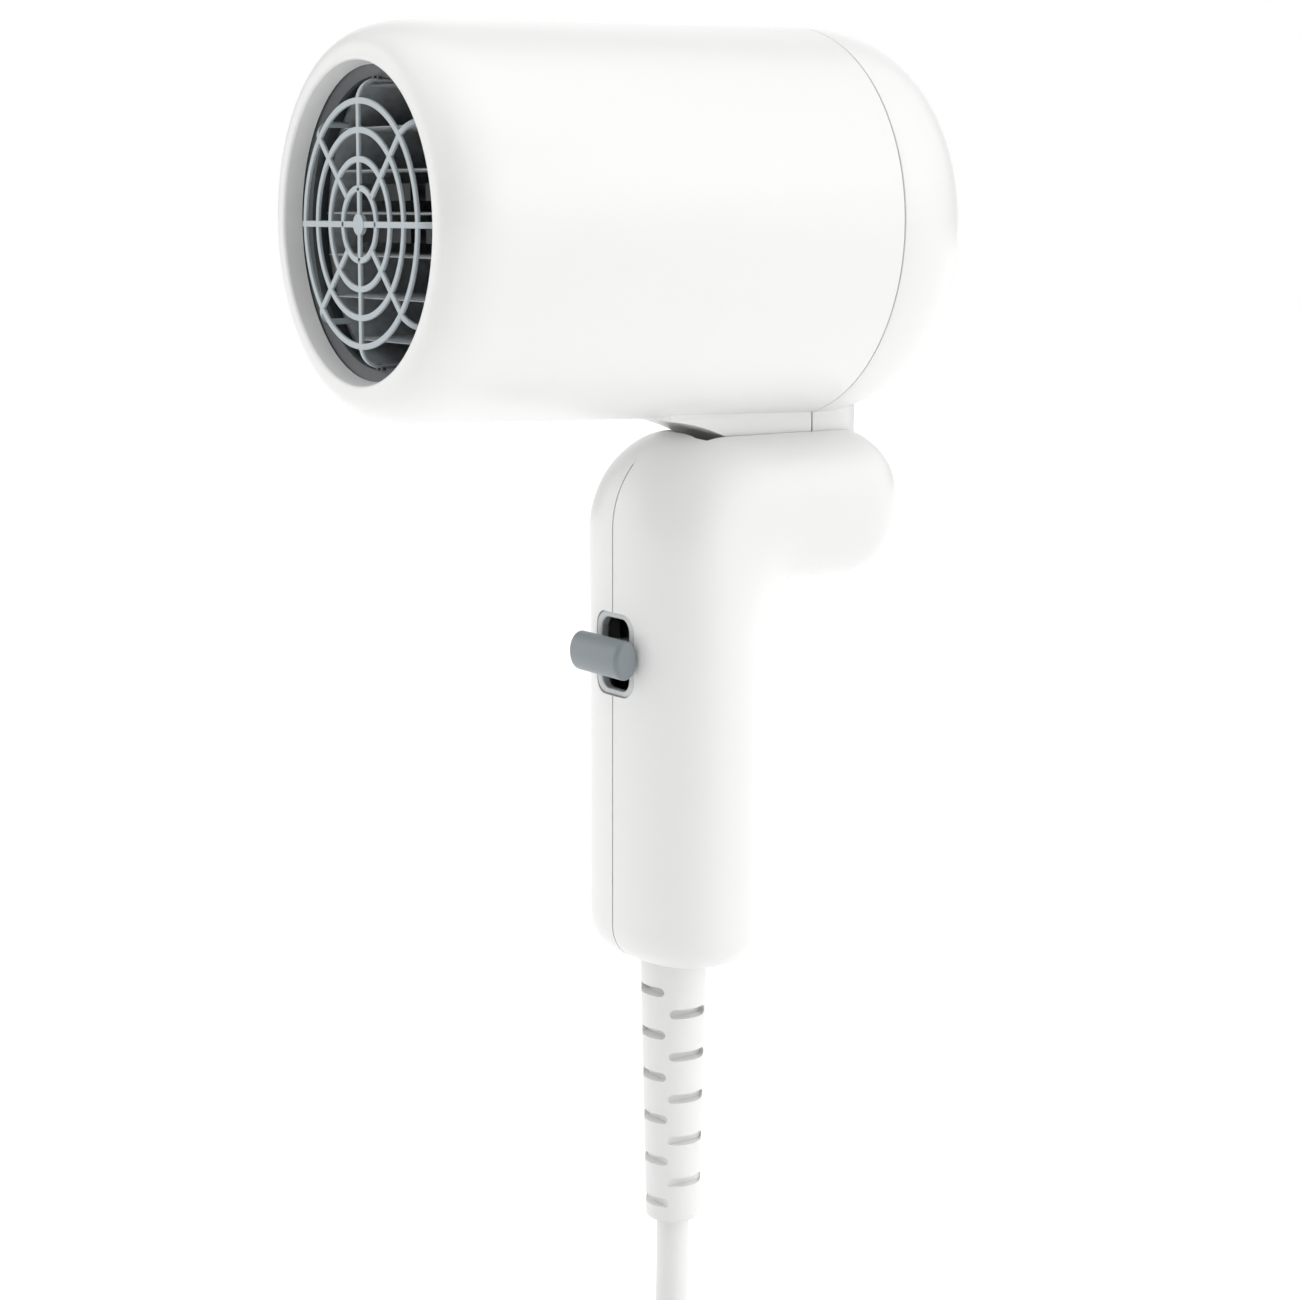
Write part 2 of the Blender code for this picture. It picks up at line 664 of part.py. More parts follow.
def grip_stations():
    """The rounded bottom of the grip and its straight part."""
    stations = []
    for k in range(5):
        turn = pi / 2 * k / 4
        inset = BOTTOM_ROUND * (1 - sin(turn))
        z = GRIP_BOTTOM_Z + BOTTOM_ROUND * (1 - cos(turn))
        depth = GRIP_HALF_DEPTH - inset
        stations.append(((-depth, z), (depth, z), GRIP_HALF_WIDTH - inset, GRIP_POWER))
    for z in (-25.0, -8.0, 6.0):
        stations.append(((-GRIP_HALF_DEPTH, z), (GRIP_HALF_DEPTH, z), GRIP_HALF_WIDTH, GRIP_POWER))
    return stations


def knuckle_stations():
    """Chords from the outer edge, round the knuckle, to the inner edge, round its fillet."""
    straight_top = HEAD_TOP_Z - 2 * HEAD_HALF - INNER_FILLET_R
    knuckle = (KNUCKLE_R - GRIP_HALF_DEPTH, HEAD_TOP_Z - KNUCKLE_R)
    fillet_x = GRIP_HALF_DEPTH + INNER_FILLET_R
    rise = knuckle[1] - straight_top
    run = fillet_x - knuckle[0]
    outer = [(-GRIP_HALF_DEPTH, straight_top + rise * share) for share in (0.0, 0.35, 0.7)]
    outer += arc(knuckle, KNUCKLE_R, 180, 90, 8)
    outer += [(knuckle[0] + run * share, HEAD_TOP_Z) for share in (0.3, 0.65, 1.0)]
    steps = len(outer) - 1
    inner = arc((fillet_x, straight_top), INNER_FILLET_R, 180, 90, steps)
    powers = [GRIP_POWER + (HEAD_POWER - GRIP_POWER) * k / steps for k in range(steps + 1)]
    return [(o, i, GRIP_HALF_WIDTH, power) for o, i, power in zip(outer, inner, powers)]


def head_stations():
    """The head from above the hinge to its rounded rear end."""
    stations = []
    z = HEAD_TOP_Z - HEAD_HALF
    for k in range(7):
        share = sin(radians(82 * k / 6))
        x = HINGE_X + HEAD_REACH * share
        half = HEAD_HALF * sqrt(1 - share**2)
        width = GRIP_HALF_WIDTH * (1 - share**HEAD_POWER) ** (1 / HEAD_POWER)
        stations.append(((x, z + half), (x, z - half), width, HEAD_POWER))
    return stations


def handle_stations():
    """Chords across the seven, from the bottom of the grip to the rear of the head.

    Each is the outer point, the inner point, the half width there and the section's power.
    """
    return grip_stations() + knuckle_stations() + head_stations()


def handle_outside():
    return loft([section(station) for station in handle_stations()])


def handle_inside():
    """The hollow of the handle, one wall thickness inside the outer shape."""
    end = HINGE_X + HEAD_REACH - SHELL_WALL - 1.5
    floor = GRIP_BOTTOM_Z + SHELL_WALL
    inner = [s for s in handle_stations() if s[0][0] <= end and s[0][1] >= floor]
    rings = [section(station, SHELL_WALL, 20) for station in inner]
    low = [(x * 0.8, y * 0.8, floor) for x, y, z in rings[0]]
    return loft([low] + rings)


def fork_outline(grow):
    """Side view of the slot that the neck drops into, moved outwards by grow."""
    front = arc(NECK_FRONT_CENTRE, SLOT_FRONT_R - grow, 73.2, 17.5, 10)
    front = [(x, z) for x, z in front if z > SLOT_FLOOR_Z - grow + 0.5]
    floor = SLOT_FLOOR_Z - grow
    above = HEAD_TOP_Z + 14.0
    below = HEAD_TOP_Z - 2 * HEAD_HALF - 8.0
    ledge = HINGE_X + SLOT_LEDGE - grow
    rear = HINGE_X + HEAD_REACH + 10.0
    start = (front[0][0] - grow, above)
    bottom = [(front[-1][0] + 0.6, floor), (ledge, floor), (ledge, below)]
    return [start, (start[0], front[0][1])] + front[1:] + bottom + [(rear, below), (rear, above)]


def handle_half(name, side, look, parts):
    """One half of the handle, side -1 being the one at -Y."""
    shell = piece(name, handle_outside(), look)
    for part in parts:
        cut(shell, part)
    for k, (x, z) in enumerate(CASE_SCREWS):
        post = rod(-POST_REACH, POST_REACH, 3.3, 14, (x, 0, z), "Y")
        join(shell, piece("%s_post_guide_%d" % (name, k), post, look))
        hole = case_screw(x, z, GAP / 2, 8.0)
        cut(shell, piece("%s_screw_hole_guide_%d" % (name, k), hole, look))
    near, far = sorted((-side * 60.0, side * GAP / 2))
    other_side = block((-80.0, near, -80.0), (80.0, far, 90.0))
    cut(shell, piece("other_side_guide_%s" % name, other_side, look))
    return shell


def case_screw(x, z, grow, head_reach):
    """A case screw that enters from +Y: a head and a shank, made thicker by grow for its hole."""
    tip, under_head, top = -12.0, 13.0, 14.6
    shank_r = 1.1 + grow
    head_r = 2.4 + grow
    profile = [(tip - grow, 0.0), (tip - grow, shank_r), (under_head - grow, shank_r)]
    profile += [(under_head - grow, head_r), (top + head_reach, head_r), (top + head_reach, 0.0)]
    return turned(profile, 14, (x, 0, z), "Y", closed_loop=False)


def handle_cutters(look):
    """What both halves are cut by: hollow, fork slot, and the holes for switch, relief, pin and wires."""
    hollow = piece("hollow_guide", handle_inside(), look)
    wall_y = SLOT_HALF + SHELL_WALL
    fork_walls = prism(fork_outline(SHELL_WALL), -wall_y, wall_y)
    cut(hollow, piece("fork_wall_guide", fork_walls, look))
    slot = piece("fork_slot_guide", prism(fork_outline(0.0), -SLOT_HALF, SLOT_HALF), look)
    opening = rounded_box_outline(BEZEL_HALF_Y + GAP, BEZEL_HALF_Z + GAP, BEZEL_ROUND + 0.2)
    window = prism([(y, z + SWITCH_Z) for y, z in opening], -22.0, -9.0, "X")
    window = piece("switch_window_guide", window, look)
    collar = rod(GRIP_BOTTOM_Z - 5, GRIP_BOTTOM_Z + 12, RELIEF_NECK_R + 0.4, 20, (0, 0, 0), "Z")
    collar = piece("relief_hole_guide", collar, look)
    bore_reach = PIN_HALF_LENGTH + 0.6
    bore = rod(-bore_reach, bore_reach, PIN_R + 0.05, 20, (HINGE_X, 0, HINGE_Z), "Y")
    bore = piece("cheek_bore_guide", bore, look)
    wires = piece("handle_wire_hole_guide", rod(10.0, 60.0, 3.0, 12, (8.0, 0, 0), "Z"), look)
    return [hollow, slot, window, collar, bore, wires]


def switch_parts(pale, dark, knob_look, knob_empty):
    """The rim in the grip's front, the switch behind it and the bar that slides up and down."""
    frame = rounded_box_outline(BEZEL_HALF_Y, BEZEL_HALF_Z, BEZEL_ROUND)
    bezel = prism([(y, z + SWITCH_Z) for y, z in frame], BEZEL_X, BEZEL_X + BEZEL_THICKNESS, "X")
    bezel = piece("switch_bezel", bezel, pale)
    hole = rounded_box_outline(SLOT_HALF_Y, SLOT_HALF_Z, SLOT_ROUND)
    hole = prism([(y, z + SWITCH_Z) for y, z in hole], BEZEL_X - 2, BEZEL_X + 4, "X")
    cut(bezel, piece("bezel_hole_guide", hole, pale))
    body = block((-8.4, -8.0, SWITCH_Z - 13), (2.0, 8.0, SWITCH_Z + 13), 0.6, 1)
    piece("switch_body", body, dark)
    rings = []
    for y, share in knob_stations():
        turns = [2 * pi * k / 24 for k in range(24)]
        a = KNOB_HALF_X - KNOB_FILLET * (1 - share)
        b = KNOB_HALF_Z - KNOB_FILLET * (1 - share)
        rings.append([(KNOB_X + a * cos(t), y, SWITCH_Z + b * sin(t)) for t in turns])
    knob = piece("switch_knob", loft(rings), knob_look, knob_empty)
    stem = block((KNOB_X, -4.2, SWITCH_Z - 2.4), (-8.9, 4.2, SWITCH_Z + 2.4))
    join(knob, piece("knob_stem_guide", stem, knob_look, knob_empty))


def knob_stations():
    """Places along the knob with how full its section is there, from 0 at the end faces to 1."""
    ends = []
    for k in range(4):
        turn = pi / 2 * k / 3
        ends.append((-KNOB_HALF_LENGTH + KNOB_FILLET * (1 - cos(turn)), sin(turn)))
    return ends + [(-y, share) for y, share in ends[::-1]]


def grip_internals(dark, metal):
    """What sits in the grip: terminal block, cord clamp with its screws, hinge pin and case screws."""
    terminals = block((-7.0, -9.0, -24.0), (1.0, 9.0, -12.0), 0.6, 1)
    piece("terminal_block", terminals, dark)
    clamp = block((-9.0, -6.0, -40.0), (-4.0, 6.0, -34.0), 0.6, 1)
    piece("cord_clamp", clamp, dark)
    for k, y in enumerate((-4.0, 4.0)):
        profile = [(-12.0, 0.0), (-12.0, 2.0), (-10.8, 2.0), (-10.8, 1.1), (-9.3, 1.1), (-9.3, 0.0)]
        screw = turned(profile, 12, (0, y, -37.0), closed_loop=False)
        piece("clamp_screw_%d" % (k + 1), screw, metal)
    end = PIN_HALF_LENGTH
    chamfer = 0.4
    profile = [(-end, 0.0), (-end, PIN_R - chamfer), (-end + chamfer, PIN_R)]
    profile += [(-along, radius) for along, radius in profile[::-1]]
    pin = turned(profile, 20, (HINGE_X, 0, HINGE_Z), "Y", closed_loop=False)
    piece("hinge_pin", pin, metal)
    for k, (x, z) in enumerate(CASE_SCREWS):
        piece("case_screw_%d" % (k + 1), case_screw(x, z, 0.0, 0.0), metal)


def strain_relief(look):
    """Tapered sleeve with rows of slots, each row turned a quarter from the one above."""
    top = GRIP_BOTTOM_Z - GAP
    end_round = 0.7
    profile = [(RELIEF_END_Z, 0.0), (RELIEF_END_Z, RELIEF_END_R - end_round)]
    profile += [(RELIEF_END_Z + end_round, RELIEF_END_R), (top, RELIEF_TOP_R), (top, RELIEF_NECK_R)]
    profile += [(top + 6.0, RELIEF_NECK_R), (top + 6.0, 0.0)]
    relief = piece("strain_relief", turned(profile, 24, (0, 0, 0), "Z", closed_loop=False), look)
    half_y = RELIEF_SLOT_HALF_LENGTH
    for row in range(RELIEF_ROWS):
        z = RELIEF_FIRST_Z - RELIEF_PITCH * row
        low_z, high_z = z - RELIEF_SLOT_HALF_HEIGHT, z + RELIEF_SLOT_HALF_HEIGHT
        for side in (0, 1):
            slot = block((RELIEF_CORE_R, -half_y, low_z), (9.0, half_y, high_z))
            turn = Matrix.Rotation(pi * side + pi / 2 * (row % 2), 3, "Z")
            bmesh.ops.rotate(slot, verts=slot.verts, matrix=turn)
            cut(relief, piece("slot_guide_%d_%d" % (row, side), slot, look))
    return relief


# ---------------------------------------------------------------- cord


# The cord's way from the strain relief down to the coil, chosen by hand.
DROP_ROUTE = (
    (0.0, 0.0, -108.2),
    (0.0, 0.0, -118.0),
    (0.0, 0.4, -129.0),
    (0.0, 1.6, -141.0),
    (-0.5, 6.2, -152.0),
    (-2.2, 13.2, -161.5),
    (-5.2, 20.0, -167.2),
)
# Its other end runs straight along X, from the bottom turn of the coil to the plug.
LEAD_ROUTE = (-16.5, -11.0, -5.0, 1.7)


def coil_floor():
    return COIL_TOP_AXIS_Z - CORD_R - (COIL_ROWS - 1) * 2 * CORD_R


def smooth(points, spacing):
    """Points read at even steps from a smooth curve through the given ones."""
    places = [Vector(p) for p in points]
    places = [2 * places[0] - places[1]] + places + [2 * places[-1] - places[-2]]
    fine = []
    for a, b, c, d in zip(places, places[1:], places[2:], places[3:]):
        for k in range(20):
            t = k / 20
            bend = (2 * a - 5 * b + 4 * c - d) * t**2 + (3 * b - a - 3 * c + d) * t**3
            fine.append(0.5 * (2 * b + (c - a) * t + bend))
    fine.append(places[-2])
    lengths = [0.0]
    for a, b in zip(fine, fine[1:]):
        lengths.append(lengths[-1] + (b - a).length)
    count = max(2, round(lengths[-1] / spacing))
    even = []
    j = 0
    for k in range(count + 1):
        want = lengths[-1] * k / count
        while j < len(fine) - 2 and lengths[j + 1] < want:
            j += 1
        share = (want - lengths[j]) / (lengths[j + 1] - lengths[j])
        even.append(fine[j].lerp(fine[j + 1], min(share, 1.0)))
    return even


def cord_tube(name, points, look):
    curve = bpy.data.curves.new(name, "CURVE")
    curve.dimensions = "3D"
    curve.bevel_depth = CORD_R * MM
    curve.bevel_resolution = 3
    curve.use_fill_caps = True
    line = curve.splines.new("POLY")
    line.points.add(len(points) - 1)
    for point, place in zip(line.points, points):
        point.co = (*(place * MM), 1.0)
    curve.materials.append(look)
    made = bpy.data.objects.new(name, curve)
    bpy.context.scene.collection.objects.link(made)
    return made


def cord_parts(look, metal):
    """The drop from the grip, the coil as a solid ring, the short lead to the plug, and the plug."""
    cord_tube("cord", smooth(DROP_ROUTE, CORD_STEP), look)
    floor = coil_floor()
    lead_z = floor + CORD_R
    cord_tube("cord_lead", smooth([(x, LEAD_Y, lead_z) for x in LEAD_ROUTE], CORD_STEP), look)
    inner, outer = COIL_R - 2 * CORD_R, COIL_R + 2 * CORD_R
    top = COIL_TOP_AXIS_Z + CORD_R
    coil = tube(floor, top, inner, outer, 40, (COIL_X, 0, 0), "Z")
    piece("cord_coil", coil, look)
    plug_parts(look, metal, lead_z)


def plug_parts(look, metal, lead_z):
    """A small two-blade plug that lies beside the coil, with its own tapered sleeve."""
    sleeve_start = LEAD_ROUTE[-1] + GAP
    sleeve_end = sleeve_start + 22.0
    body_start = sleeve_end - 1.0
    face = body_start + 26.0
    half_width = 11.0
    height = 14.5
    sleeve = [(sleeve_start, 0.0), (sleeve_start, 4.2), (sleeve_end, 5.6), (sleeve_end, 0.0)]
    sleeve = turned(sleeve, 20, (0, LEAD_Y, lead_z + 3.0), closed_loop=False)
    low = (body_start, LEAD_Y - half_width, lead_z - CORD_R)
    high = (face, LEAD_Y + half_width, lead_z - CORD_R + height)
    body = piece("plug_body", block(low, high, 2.5, 2), look)
    join(body, piece("plug_sleeve_guide", sleeve, look))
    blade_pitch = 12.7
    blade_half = 0.75
    for k, y in enumerate((LEAD_Y - blade_pitch / 2, LEAD_Y + blade_pitch / 2)):
        low = (face + GAP, y - blade_half, lead_z + 0.6)
        high = (face + 17.5, y + blade_half, lead_z + 6.9)
        piece("plug_blade_%d" % (k + 1), block(low, high, 0.3, 1), metal)


# ---------------------------------------------------------------- assembly


def build():
    for old in list(bpy.data.objects):
        bpy.data.objects.remove(old, do_unlink=True)
    white = material("white_plastic", WHITE, 0.28)
    pale = material("bezel_plastic", "DCDDDD", 0.4)
    grey = material("liner_plastic", DARK_GREY, 0.45)
    bars = material("grille_plastic", BAR_GREY, 0.4)
    knob_look = material("knob_plastic", KNOB_GREY, 0.42)
    mica = material("mica_board", "4B4A44", 0.6)
    wire = material("heating_wire", "6E6A66", 0.4, 1.0)
    steel = material("steel", "B9BBBD", 0.3, 1.0)
    brass = material("brass", "B8944E", 0.35, 1.0)
    dark = material("black_plastic", "26282A", 0.5)
    mesh_look = material("filter_mesh", "3C3F41", 0.7)
    cord_look = material("cord_pvc", "EFEFEE", 0.5)

    pivot = empty("barrel_fold_axis", (HINGE_X, 0, HINGE_Z))
    fan_axis = empty("fan_axis", (25.0, 0, AXIS_Z))
    knob_axis = empty("knob_slide", (KNOB_X, 0, SWITCH_Z))

    front_housing(white, pivot)
    rear_cover(white, pivot)
    outlet_liner(grey, pivot)
    outlet_grille(bars, pivot)
    heater_parts(mica, wire, steel, pivot)
    motor_mount(dark, pivot)
    motor_parts(steel, brass, pivot)
    impeller(dark, steel, fan_axis)
    inlet_parts(white, mesh_look, pivot)

    parts = handle_cutters(white)
    handle_half("handle_near", -1, white, parts)
    handle_half("handle_far", 1, white, parts)
    switch_parts(pale, dark, knob_look, knob_axis)
    grip_internals(dark, steel)
    strain_relief(cord_look)
    cord_parts(cord_look, steel)


build()
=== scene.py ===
# %% [markdown]
# # A folding hair dryer, from its frame to its finish
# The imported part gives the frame: bodies that move, joints, and plain solids. This script puts a
# finished piece over each solid that shows. Lengths are in millimetres here and become metres when a
# mesh is made, because millimetres are what a maker measures in. The frame is loaded first, so that
# every size can be read from it.

# %% Load the frame
from math import atan2, cos, degrees, floor, pi, radians, sin, sqrt

import bmesh
import bpy
from mathutils import Matrix, Vector


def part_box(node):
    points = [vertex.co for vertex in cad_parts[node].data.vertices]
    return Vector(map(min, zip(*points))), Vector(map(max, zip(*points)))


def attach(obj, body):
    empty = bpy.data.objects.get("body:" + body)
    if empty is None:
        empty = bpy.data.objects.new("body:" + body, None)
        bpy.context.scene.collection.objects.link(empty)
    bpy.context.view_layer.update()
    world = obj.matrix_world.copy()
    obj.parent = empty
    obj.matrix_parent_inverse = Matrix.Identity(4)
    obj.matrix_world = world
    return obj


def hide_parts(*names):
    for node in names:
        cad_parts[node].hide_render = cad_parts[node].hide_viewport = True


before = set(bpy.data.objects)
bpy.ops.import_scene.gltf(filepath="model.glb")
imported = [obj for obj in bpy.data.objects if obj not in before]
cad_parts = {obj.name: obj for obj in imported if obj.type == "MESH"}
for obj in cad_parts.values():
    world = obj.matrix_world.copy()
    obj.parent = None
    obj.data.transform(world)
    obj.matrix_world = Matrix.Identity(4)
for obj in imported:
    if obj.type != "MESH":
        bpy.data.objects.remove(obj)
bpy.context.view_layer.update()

MM = 0.001


# %% [markdown]
# ## Driving dimensions
# Nothing is placed by eye. The barrel's ends, the seam, the hinge and the grip are corners of the
# solids' boxes, and only shapes that a box can't say, such as a corner's roundness, are given as
# numbers.

# %% Read the main dimensions
def box_mm(*nodes):
    """Lowest and highest corner round these nodes, in millimetres."""
    corners = [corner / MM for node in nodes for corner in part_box(node)]
    low = Vector([min(c[k] for c in corners) for k in range(3)])
    high = Vector([max(c[k] for c in corners) for k in range(3)])
    return low, high


def middle(low_high):
    return (low_high[0] + low_high[1]) / 2


GAP = 0.3
AXIS_Z = middle(box_mm("outlet_liner")).z
LIP_X = box_mm("front_housing")[0].x
FRONT_SEAM_X = box_mm("front_housing")[1].x
SEAM_X = FRONT_SEAM_X + GAP / 2
REAR_X = box_mm("rear_cover")[1].x
HINGE = middle(box_mm("hinge_pin"))
SEAM_R = box_mm("rear_cover")[1].y
GRIP_LOW, GRIP_HIGH = box_mm("handle_near", "handle_far")
print("barrel %.1f mm long, %.1f across; grip %.1f wide" % (REAR_X - LIP_X, 2 * SEAM_R, 2 * GRIP_HIGH.y))

# %% [markdown]
# ## Camera and surroundings
# A product like this is pictured in a white tent, between soft panels at its sides, behind it and
# overhead, and with none in front. That leaves a round white shape darkest where it faces the camera
# and brightest along its edges. A world shader makes the panels: each is a soft spot round one
# direction, and the camera itself sees only the white of the tent.

# %% Place the camera
CAMERA_PLACE = Vector((-301.2, -451.6, 101.5))
CAMERA_HEADING = 33.17  # degrees from +Y towards +X
CAMERA_DIP = 9.328  # degrees below level
CAMERA_ROLL = 0.13
LENS = 74.88  # for a sensor 36 wide

lens = bpy.data.cameras.new("camera")
lens.sensor_width = 36.0
lens.lens = LENS
lens.clip_start = 0.01
camera = bpy.data.objects.new("camera", lens)
camera.location = CAMERA_PLACE * MM
look = Vector(
    (
        sin(radians(CAMERA_HEADING)) * cos(radians(CAMERA_DIP)),
        cos(radians(CAMERA_HEADING)) * cos(radians(CAMERA_DIP)),
        -sin(radians(CAMERA_DIP)),
    )
)
turn = look.to_track_quat("-Z", "Y").to_matrix() @ Matrix.Rotation(radians(CAMERA_ROLL), 3, "Z")
camera.rotation_euler = turn.to_euler()
bpy.context.scene.collection.objects.link(camera)
bpy.context.scene.camera = camera
print("camera looks along", [round(v, 3) for v in look])


# %% One helper for every node
def add_node(tree, kind, inputs=None, **settings):
    """Adds a node, sets its properties, and fills its inputs by linking a socket or storing a value."""
    node = tree.nodes.new(kind)
    for name, value in settings.items():
        setattr(node, name, value)
    for name, value in (inputs or {}).items():
        if isinstance(value, bpy.types.NodeSocket):
            tree.links.new(value, node.inputs[name])
        else:
            node.inputs[name].default_value = value
    return node


def srgb(hex_colour):
    """An sRGB hex colour as the linear values that shaders use."""
    parts = [int(hex_colour[i : i + 2], 16) / 255 for i in (0, 2, 4)]
    return [c / 12.92 if c <= 0.04045 else ((c + 0.055) / 1.055) ** 2.4 for c in parts] + [1.0]


# %% Light the tent
PANELS = (  # degrees left of the camera as seen from the dryer, degrees up, brightness
    (70, 0, 1.56),
    (72, 32, 0.30),
    (-105, 0, 1.34),
    (180, 0, 0.92),
    (55, 40, 1.15),
    (-55, 40, 1.16),
    (110, 40, 1.05),
    (-110, 40, 0.74),
    (180, 40, 0.33),
    (0, 90, 1.38),
)
PANEL_FULL = 8.0  # degrees round a panel's middle at full brightness
PANEL_EDGE = 41.0  # degrees from its middle at which it has faded out

scene = bpy.context.scene
scene.view_settings.view_transform = "Standard"


def panel_direction(left, up):
    """The direction of a panel, measured from the way back to the camera."""
    heading = atan2(-look.y, -look.x) + radians(left)
    return (cos(heading) * cos(radians(up)), sin(heading) * cos(radians(up)), sin(radians(up)))


def panel(tree, place, left, up, brightness):
    """The brightness of one panel as a socket."""
    near = add_node(
        tree, "ShaderNodeVectorMath", {0: place, 1: panel_direction(left, up)}, operation="DOT_PRODUCT"
    )
    fade = add_node(
        tree,
        "ShaderNodeMapRange",
        {
            "Value": near.outputs["Value"],
            "From Min": cos(radians(PANEL_EDGE)),
            "From Max": cos(radians(PANEL_FULL)),
            "To Min": 0.0,
            "To Max": brightness,
        },
        interpolation_type="SMOOTHSTEP",
    )
    return fade.outputs["Result"]


def white_tent():
    world = bpy.data.worlds.new("white_tent")
    world.use_nodes = True
    sky = world.node_tree
    sky.nodes.clear()
    place = add_node(sky, "ShaderNodeTexCoord").outputs["Generated"]
    total = 0.0
    for left, up, brightness in PANELS:
        light = panel(sky, place, left, up, brightness)
        total = add_node(sky, "ShaderNodeMath", {0: total, 1: light}, operation="ADD").outputs[0]
    lit = add_node(sky, "ShaderNodeBackground", {"Strength": total})
    plain = add_node(sky, "ShaderNodeBackground", {"Strength": 1.0})
    seen = add_node(sky, "ShaderNodeLightPath").outputs["Is Camera Ray"]
    backdrop = add_node(
        sky, "ShaderNodeMixShader", {0: seen, 1: lit.outputs[0], 2: plain.outputs[0]}
    )
    plain.inputs["Color"].default_value = srgb("FFFFFF")
    lit.inputs["Color"].default_value = srgb("FFFFFF")
    add_node(sky, "ShaderNodeOutputWorld", {"Surface": backdrop.outputs[0]})
    return world


scene.world = white_tent()
print("tent of", len(PANELS), "panels")


# %% [markdown]
# ## The cord
# A mains lead is soft PVC over two cores, 6.9 mm thick and about 1.7 m long. It drops out of the strain
# relief under its own weight and is put away in a round coil of two columns and five rows, so that the
# whole part fits on a shelf. The free stretch is a smooth curve through listed points, and the
# coil is worked out: the turns go round at one of two radii, and each step inwards, outwards or down
# takes a sixth of a turn.

# %% Work out the cord's route
CORD_D = 6.9
COIL_LOW, COIL_HIGH = box_mm("cord_coil")
COIL_MIDDLE = middle((COIL_LOW, COIL_HIGH))
COIL_OUTER = (COIL_HIGH.y - COIL_LOW.y) / 2 - CORD_D / 2
COIL_INNER = COIL_OUTER - CORD_D
COIL_TOP = COIL_HIGH.z - CORD_D / 2
LEAD_END_X = 1.7

DROP_ROUTE = [
    (0.0, 0.0, -108.2),
    (0.0, 0.0, -118.0),
    (0.0, 0.4, -129.0),
    (0.0, 1.6, -141.0),
    (-0.5, 6.2, -152.0),
    (-2.2, 13.2, -161.5),
    (-5.2, 20.0, -167.2),
    (-13.2, 30.4, -173.4),
    (-23.0, 37.1, -175.0),
]
# Each stay on a radius and row ends at an angle, and the next begins a sixth of a turn later.
COIL_STAYS = [
    (270, "outer", 5),
    (330, "inner", 5),
    (630, "inner", 4),
    (930, "outer", 4),
    (1230, "outer", 3),
    (1530, "inner", 3),
    (1830, "inner", 2),
    (2130, "outer", 2),
    (2430, "outer", 1),
]
SHIFT = 60  # degrees that a step takes


def ease(share):
    return share * share * (3 - 2 * share)


def coil_place(angle):
    """Radius and height of the cord's middle after this many degrees round the coil."""

    def stay(entry):
        radius = COIL_OUTER if entry[1] == "outer" else COIL_INNER
        return radius, COIL_TOP - (5 - entry[2]) * CORD_D

    for before, after in zip(COIL_STAYS, COIL_STAYS[1:]):
        if angle <= before[0]:
            return stay(before)
        if angle < before[0] + SHIFT:
            share = ease((angle - before[0]) / SHIFT)
            (r0, z0), (r1, z1) = stay(before), stay(after)
            return r0 + (r1 - r0) * share, z0 + (z1 - z0) * share
    return stay(COIL_STAYS[-1])


def smooth_curve(points, spacing):
    """Points at even steps along a smooth curve through the given ones."""
    places = [Vector(p) for p in points]
    places = [2 * places[0] - places[1]] + places + [2 * places[-1] - places[-2]]
    fine = []
    for a, b, c, d in zip(places, places[1:], places[2:], places[3:]):
        for k in range(20):
            t = k / 20
            bend = (2 * a - 5 * b + 4 * c - d) * t**2 + (3 * b - a - 3 * c + d) * t**3
            fine.append(0.5 * (2 * b + (c - a) * t + bend))
    fine.append(places[-2])
    even, travelled = [fine[0]], 0.0
    for a, b in zip(fine, fine[1:]):
        travelled += (b - a).length
        if travelled >= spacing:
            even.append(b)
            travelled = 0.0
    if (even[-1] - fine[-1]).length < spacing / 2:
        even.pop()
    return even + [fine[-1]]


def cord_route():
    route = smooth_curve(DROP_ROUTE, 3.5)
    joined = Vector(DROP_ROUTE[-1]) - COIL_MIDDLE
    start = degrees(atan2(joined.y, joined.x))
    step = 5
    angle = step * (floor(start / step) + 2)
    while angle <= COIL_STAYS[-1][0]:
        radius, z = coil_place(angle)
        turn = radians(angle)
        route.append(
            Vector((COIL_MIDDLE.x + radius * cos(turn), COIL_MIDDLE.y + radius * sin(turn), z))
        )
        angle += step
    end = route[-1]
    steps = 12
    route += [end + Vector(((LEAD_END_X - end.x) * k / steps, 0, 0)) for k in range(1, steps + 1)]
    return route


def path_length(points):
    return sum((b - a).length for a, b in zip(points, points[1:]))


ROUTE = cord_route()
print("cord %.3f m in %d points" % (path_length(ROUTE) * MM, len(ROUTE)))


# %% [markdown]
# ## Helpers for shapes
# Three ways of making a solid cover the whole dryer. A turned profile makes what is round, a loft
# through sections makes what changes along its length, and a prism makes what is flat. Each helper
# returns a bmesh in millimetres, and one function turns it into an object at the origin with its place
# in its mesh.

# %% Turn, loft and draw out
def loft(rings, closed_loop=False):
    """A closed body through rings of equally many points."""
    shape = bmesh.new()
    rows = [[shape.verts.new(point) for point in ring] for ring in rings]
    pairs = list(zip(rows, rows[1:]))
    if closed_loop:
        pairs.append((rows[-1], rows[0]))
    for low, high in pairs:
        for i in range(len(low)):
            j = (i + 1) % len(low)
            shape.faces.new((low[i], low[j], high[j], high[i]))
    if not closed_loop:
        shape.faces.new(rows[0])
        shape.faces.new(rows[-1])
    return shape


